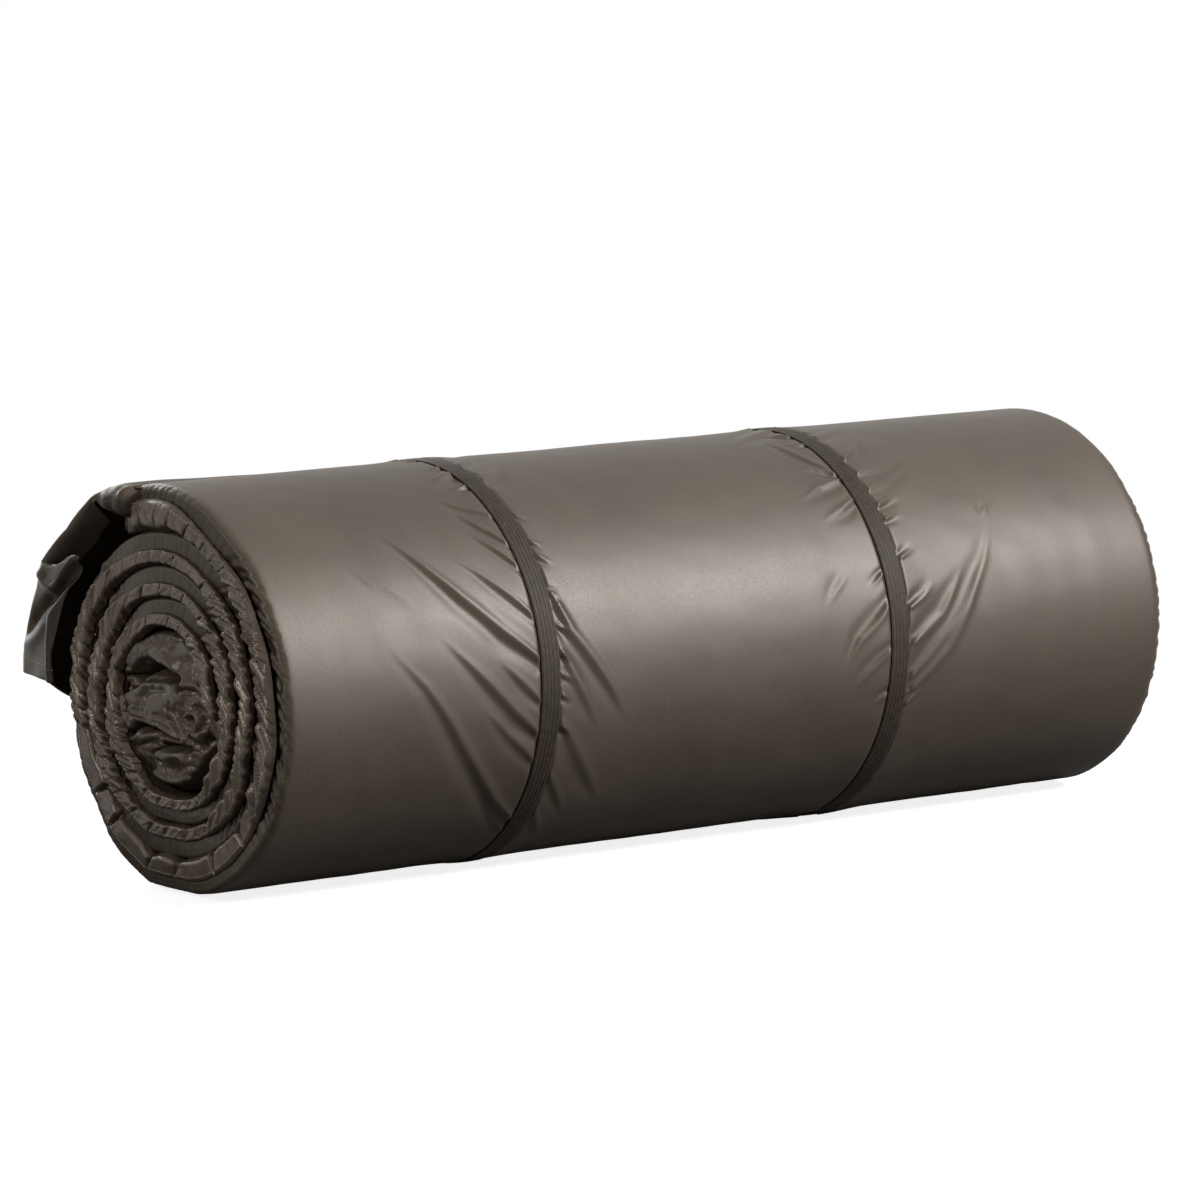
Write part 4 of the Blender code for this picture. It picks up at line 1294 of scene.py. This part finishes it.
def bunch(name, side, material):
    """The slack start of the cover, bunched up at one end into a crumpled sheet over the roll's middle."""
    even = np.linspace(-1.0, 1.0, BUNCH_GRID)
    u, v = np.meshgrid(even, even)
    across, up = u * np.sqrt(1.0 - v**2 / 2.0), v * np.sqrt(1.0 - u**2 / 2.0)
    seed = 120 if side < 0 else 140
    y = (BUNCH_CENTRE[0] if side < 0 else 0.0) + BUNCH_RADIUS * across
    z = BUNCH_CENTRE[1] + BUNCH_RADIUS * up
    bent_y = y + LINE_WAVER * ripple(y, z, LINE_WAVER_SPAN, seed + 1)
    bent_z = z + LINE_WAVER * ripple(y, z, LINE_WAVER_SPAN, seed + 2)
    lobe = bell(np.hypot((y - 0.012) / 1.6, z + 0.002), 0.011)
    crumple = CRUMPLE_HEIGHT * (creased(y, z, CRUMPLE_SPAN, seed) - 0.4)
    height = BUNCH_LEVEL + crumple * (1.0 - 0.9 * lobe) + LOBE_HEIGHT * lobe
    knots = bell(np.hypot(y + 0.024, z + 0.004), 0.016) + bell(np.hypot(y - 0.048, z + 0.004), 0.013)
    height = height + KNOT_HEIGHT * knots * (creased(y, z, KNOT_SPAN, seed + 5) - 0.4)
    for rise, width, line in BUNCH_FORMS:
        seen = line if side < 0 else [(-0.85 * a, b) for a, b in line]
        height = height + 0.001 * rise * bell(line_distance(bent_y, bent_z, seen), 0.001 * width)
    for rise, reach, line in BUNCH_LIPS:
        seen = line if side < 0 else [(-0.85 * a, b) for a, b in line[::-1]]
        off = line_distance(bent_y, bent_z, seen)
        near = 1.0 - smooth((np.abs(off) - 0.5 * BUNCH_RADIUS) / 0.01)
        over = (0.5 + 0.5 * np.tanh(off / LIP_EDGE)) * bell(np.maximum(off, 0.0), 0.001 * reach)
        height = height + 0.001 * rise * near * (over - 0.5 * bell(off + 0.0012, 0.0011))
    away = np.hypot(across, up)
    height = np.minimum(height, BUNCH_HIGHEST) - BUNCH_BORDER_SUNK * smooth((away - 0.88) / 0.12)
    slip = SIDE_SLIP * ripple(y, z, 0.016, seed + 3) * (1.0 - smooth((away - 0.8) / 0.2))
    points = np.stack([side * (MAT_END + height), AXIS_Y + y + slip, AXIS_Z + z], axis=-1)
    return cloth(name, points, LINING_THICKNESS, material)


def core(material):
    """The crumpled sheet in the middle of the roll."""
    line, along = rounded(0.001 * np.array(CORE_LINE), 0.0015)
    edge = MAT_END - CORE_SINK - 0.004
    fine = edge - np.concatenate([np.arange(0.0, 0.06, 0.0016), np.arange(0.06, 0.1, 0.004)])
    x = np.concatenate([-fine, np.linspace(-0.21, 0.21, 31), fine[::-1]])
    way = np.gradient(line, axis=0)
    way = way / np.linalg.norm(way, axis=1, keepdims=True)
    across = np.stack([-way[:, 1], way[:, 0]], axis=1)
    near = smooth((np.abs(x) - 0.25) / 0.06)[None, :]
    s = along[:, None]
    place = x[None, :]
    crumple = 0.0010 * ripple(place, s, 0.05, 101) + near * 0.0022 * ripple(place, s, 0.021, 102)
    fan = near * 0.0008 * (gathers(s + 0.25 * np.abs(place), 0.0065, 103) - 0.5)
    push = (crumple + fan) * smooth(s / 0.01)
    flat = line[:, None, :] + across[:, None, :] * push[..., None]
    ragged = near * (0.0022 * wander(s, 0.03, 104) + 0.0012 * gathers(s, 0.011, 105)) * np.sign(place)
    out = np.broadcast_to(place, push.shape) + ragged
    points = np.stack([out, AXIS_Y + flat[..., 0], AXIS_Z + flat[..., 1]], axis=-1)
    hemmed = smooth((np.abs(place) - edge + 0.008) / 0.001)
    return cloth("inner_cloth", points, LINING_THICKNESS * (1.0 + 0.8 * hemmed), material), float(along[-1])


# Elastic loops


def loop_line(x, clearance):
    """Closed line round the roll and the flap, in the middle of a loop's thickness."""
    angle = np.arange(0.0, 360.0, 0.8)
    under = smooth((angle - TAIL_START_ANGLE - 1.0) / 8.0) * (1.0 - smooth((angle - 197.0) / 8.0))
    radius = hull_radius(angle) + clearance + under * (TAIL_THICKNESS + CLEARANCE)
    return polar(x + strap_lean(x, angle), angle, radius), angle


def ribbed_band(name, line, material, closed):
    """Flat band with ribs along it, swept along a line round the roll."""
    made = Recipe("ribbed_band", Width=STRAP_WIDTH, Thickness=STRAP_THICKNESS, Ribs=STRAP_RIBS, Groove=0.5)
    circle = made.node("GeometryNodeCurvePrimitiveCircle", None, Resolution=88, Radius=1.0)
    x, y, _ = made.parts(made.node("GeometryNodeInputPosition"))
    wave = ((x * 0.5 + 0.5) * made.size("Ribs") * (2.0 * math.pi)).maths("COSINE") * 0.5 + 0.5
    swell = 1.0 - wave * made.size("Groove")
    rise = y.maths("ABSOLUTE") ** 0.35 * y.maths("SIGN") * made.size("Thickness") * 0.5 * swell
    section = made.node("ShaderNodeCombineXYZ", None, rise, x * made.size("Width") * 0.5)
    profile = made.node("GeometryNodeSetPosition", None, circle, Position=section)
    curve = made.node("GeometryNodeMeshToCurve", None, made.line)
    place = made.node("GeometryNodeInputPosition")
    shifted = made.node("ShaderNodeVectorMath", {"operation": "SUBTRACT"}, place, (0.0, AXIS_Y, AXIS_Z))
    flat = made.node("ShaderNodeVectorMath", {"operation": "MULTIPLY"}, shifted, (0.0, 1.0, 1.0))
    outward = made.node("ShaderNodeVectorMath", {"operation": "NORMALIZE"}, flat)
    upright = made.node("GeometryNodeSetCurveNormal", {"mode": "FREE"}, curve, Normal=outward)
    swept = made.node("GeometryNodeCurveToMesh", None, upright, profile, **{"Fill Caps": True})
    return made.grow(name, line, material, swept, closed)


def loop(name, x, webbing_paint, thread_paint):
    """An elastic loop, lapped and sewn at the lower back."""
    line, angle = loop_line(x, CLEARANCE + STRAP_THICKNESS / 2.0 - 0.0002)
    band = ribbed_band(name, line, webbing_paint, True)
    outer, angle = loop_line(x, CLEARANCE + 1.5 * STRAP_THICKNESS - 0.0003)
    half = math.degrees(LAP_LENGTH / 2.0 / 0.106)
    lap_angle = np.linspace(LAP_ANGLE - half, LAP_ANGLE + half, 31)
    lap_line = np.stack([np.interp(lap_angle, angle, outer[:, k]) for k in range(3)], axis=1)
    lap = ribbed_band(name + "_lap", lap_line, webbing_paint, False)
    tacks = []
    for number, share in enumerate((0.16, 0.84)):
        at = lap_line[round(share * 30)]
        out = np.array([0.0, at[1] - AXIS_Y, at[2] - AXIS_Z])
        out = out / np.linalg.norm(out)
        way = np.cross(out, (1.0, 0.0, 0.0))
        across = np.linspace(-0.42, 0.42, 15)[:, None] * STRAP_WIDTH
        zigzag = 0.0009 * (-1.0) ** np.arange(15)[:, None]
        row = at + out * (0.5 * STRAP_THICKNESS + 0.0001) + across * np.array([1.0, 0.0, 0.0]) + zigzag * way
        tacks.append(stitches(f"{name}_tack_{number}", row, thread_paint, 0.0011, 0.0007))
    return band, lap, tacks


# Camera, floor and light

CAMERA_AZIMUTH = -37.5
CAMERA_ELEVATION = 8.0
CAMERA_DISTANCE = 3.68
CAMERA_LENS = 187.0
AIM_OFF_AXIS = (-0.0173, 0.0, 0.0334)
KEY_DIRECTION = (0.575, -0.628, 0.524)
KEY_DISTANCE = 4.0
KEY_SIZE = (1.4, 0.75)
KEY_POWER = 200.0
FILL_PLACE = (-2.5, -0.35, 1.35)
FILL_SIZE = (0.6, 0.6)
FILL_POWER = 27.0
BACK_PLACE = (0.25, 2.6, 0.95)
BACK_SIZE = (1.8, 0.7)
BACK_POWER = 36.0
WORLD_LEVEL = 0.04
WHITE = (1.0, 1.0, 1.0, 1.0)
# The floor throws little light back at the roll, and the camera sees it paler and lifted to white
FLOOR_DIM = (0.14, 0.14, 0.14, 1.0)
FLOOR_PALE = (0.34, 0.34, 0.34, 1.0)
FLOOR_LIFT = 0.84


def camera():
    turn, rise = math.radians(CAMERA_AZIMUTH), math.radians(CAMERA_ELEVATION)
    aim = Vector((AIM_OFF_AXIS[0], AXIS_Y + AIM_OFF_AXIS[1], AXIS_Z + AIM_OFF_AXIS[2]))
    away = Vector((math.sin(turn) * math.cos(rise), -math.cos(turn) * math.cos(rise), math.sin(rise)))
    data = bpy.data.cameras.new("camera")
    data.sensor_width = 36.0
    data.lens = CAMERA_LENS
    data.clip_end = 50.0
    obj = bpy.data.objects.new("camera", data)
    obj.location = aim + away * CAMERA_DISTANCE
    obj.rotation_euler = (-away).to_track_quat("-Z", "Y").to_euler()
    bpy.context.scene.collection.objects.link(obj)
    bpy.context.scene.camera = obj


def softbox(name, place, aim, size, power):
    data = bpy.data.lights.new(name, "AREA")
    data.shape = "RECTANGLE"
    data.size, data.size_y = size
    data.energy = power
    obj = bpy.data.objects.new(name, data)
    obj.location = place
    obj.rotation_euler = (Vector(aim) - Vector(place)).to_track_quat("-Z", "Y").to_euler()
    bpy.context.scene.collection.objects.link(obj)


def background_rays(graph):
    """1 for the rays that see the background: straight, mirrored or through something clear."""
    rays = graph.tree.nodes.new("ShaderNodeLightPath")
    kinds = ("Is Camera Ray", "Is Glossy Ray", "Is Transmission Ray")
    seen = [Wire(graph, rays.outputs[kind]) for kind in kinds]
    return seen[0].maths("MAXIMUM", seen[1].maths("MAXIMUM", seen[2]))


def white_world():
    world = bpy.data.worlds.new("studio")
    world.use_nodes = True
    bpy.context.scene.world = world
    graph = Graph(world.node_tree)
    dim = graph.node("ShaderNodeBackground", None, WHITE, WORLD_LEVEL)
    seen = graph.node("ShaderNodeBackground", None, WHITE, 1.0)
    mixed = graph.node("ShaderNodeMixShader", None, background_rays(graph), dim, seen)
    graph.feed(world.node_tree.nodes["World Output"].inputs["Surface"], mixed)


def floor():
    """A pale floor that keeps the roll's shadow and turns white further off."""
    bpy.ops.mesh.primitive_plane_add(size=30.0)
    sheet = bpy.context.object
    sheet.name = "floor"
    finish = Finish("floor_paint")
    seen = Wire(finish, finish.tree.nodes.new("ShaderNodeLightPath").outputs["Is Camera Ray"])
    finish.surface(Base_Color=finish.mixed(seen, FLOOR_DIM, FLOOR_PALE), Roughness=0.95)
    x, y, _ = finish.parts(finish.place())
    off = ((x * x * 0.45 + y * y) ** 0.5).between(0.18, 0.62)
    glow = finish.node("ShaderNodeEmission", None, WHITE, 1.0)
    lift = finish.node("ShaderNodeEmission", None, WHITE, seen * FLOOR_LIFT)
    plain = Wire(finish, finish.shader.outputs[0])
    lit = finish.node("ShaderNodeAddShader", None, plain, lift)
    near = finish.node("ShaderNodeMixShader", None, off, lit, glow)
    own = finish.node("ShaderNodeMixShader", None, background_rays(finish), plain, near)
    finish.feed(finish.tree.nodes["Material Output"].inputs["Surface"], own)
    sheet.data.materials.append(finish.material)


def studio():
    bpy.context.scene.view_settings.view_transform = "Standard"
    white_world()
    floor()
    middle = Vector((0.0, AXIS_Y, AXIS_Z))
    softbox("key", middle + Vector(KEY_DIRECTION) * KEY_DISTANCE, middle, KEY_SIZE, KEY_POWER)
    softbox("fill", middle + Vector(FILL_PLACE), middle, FILL_SIZE, FILL_POWER)
    softbox("back", middle + Vector(BACK_PLACE), middle, BACK_SIZE, BACK_POWER)


camera()
studio()
PAINTS = finishes()

mat = padded_mat(PAINTS["cover"])
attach(mat, "root")
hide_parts("foam_core", "cover_top_sheet", "cover_base_sheet")

for name, side in (("hem_left_strip", -1.0), ("hem_right_strip", 1.0)):
    strip = hem(name, side, PAINTS["hem"])
    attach(strip, "root")
    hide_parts("hem_left" if side < 0 else "hem_right")
    row = stitches(name + "_stitches", hem_stitch_line(side), PAINTS["thread"], STITCH_PITCH, 0.00095)
    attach(row, "root")

tail, tail_seam = flap(PAINTS["flap"])
tail_row = stitches("cover_flap_stitches", tail_seam, PAINTS["thread"])
for piece in (tail, tail_row):
    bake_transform(piece)
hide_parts("end_flap", "flap_corner_left")

inner, inner_length = core(PAINTS["lining"])
bunches = [bunch("inner_cloth_left", -1.0, PAINTS["lining"]),
           bunch("inner_cloth_right", 1.0, PAINTS["lining"])]
for piece in [inner] + bunches:
    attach(piece, "root")
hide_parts("inner_flap")

for node, body, x in (("elastic_strap_left", "loop_left", STRAP_LEFT_X),
                      ("elastic_strap_right", "loop_right", STRAP_RIGHT_X)):
    band, lap, tacks = loop(body + "_band", x, PAINTS["webbing"], PAINTS["thread"])
    for piece in [band, lap] + tacks:
        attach(piece, body)
    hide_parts(node)
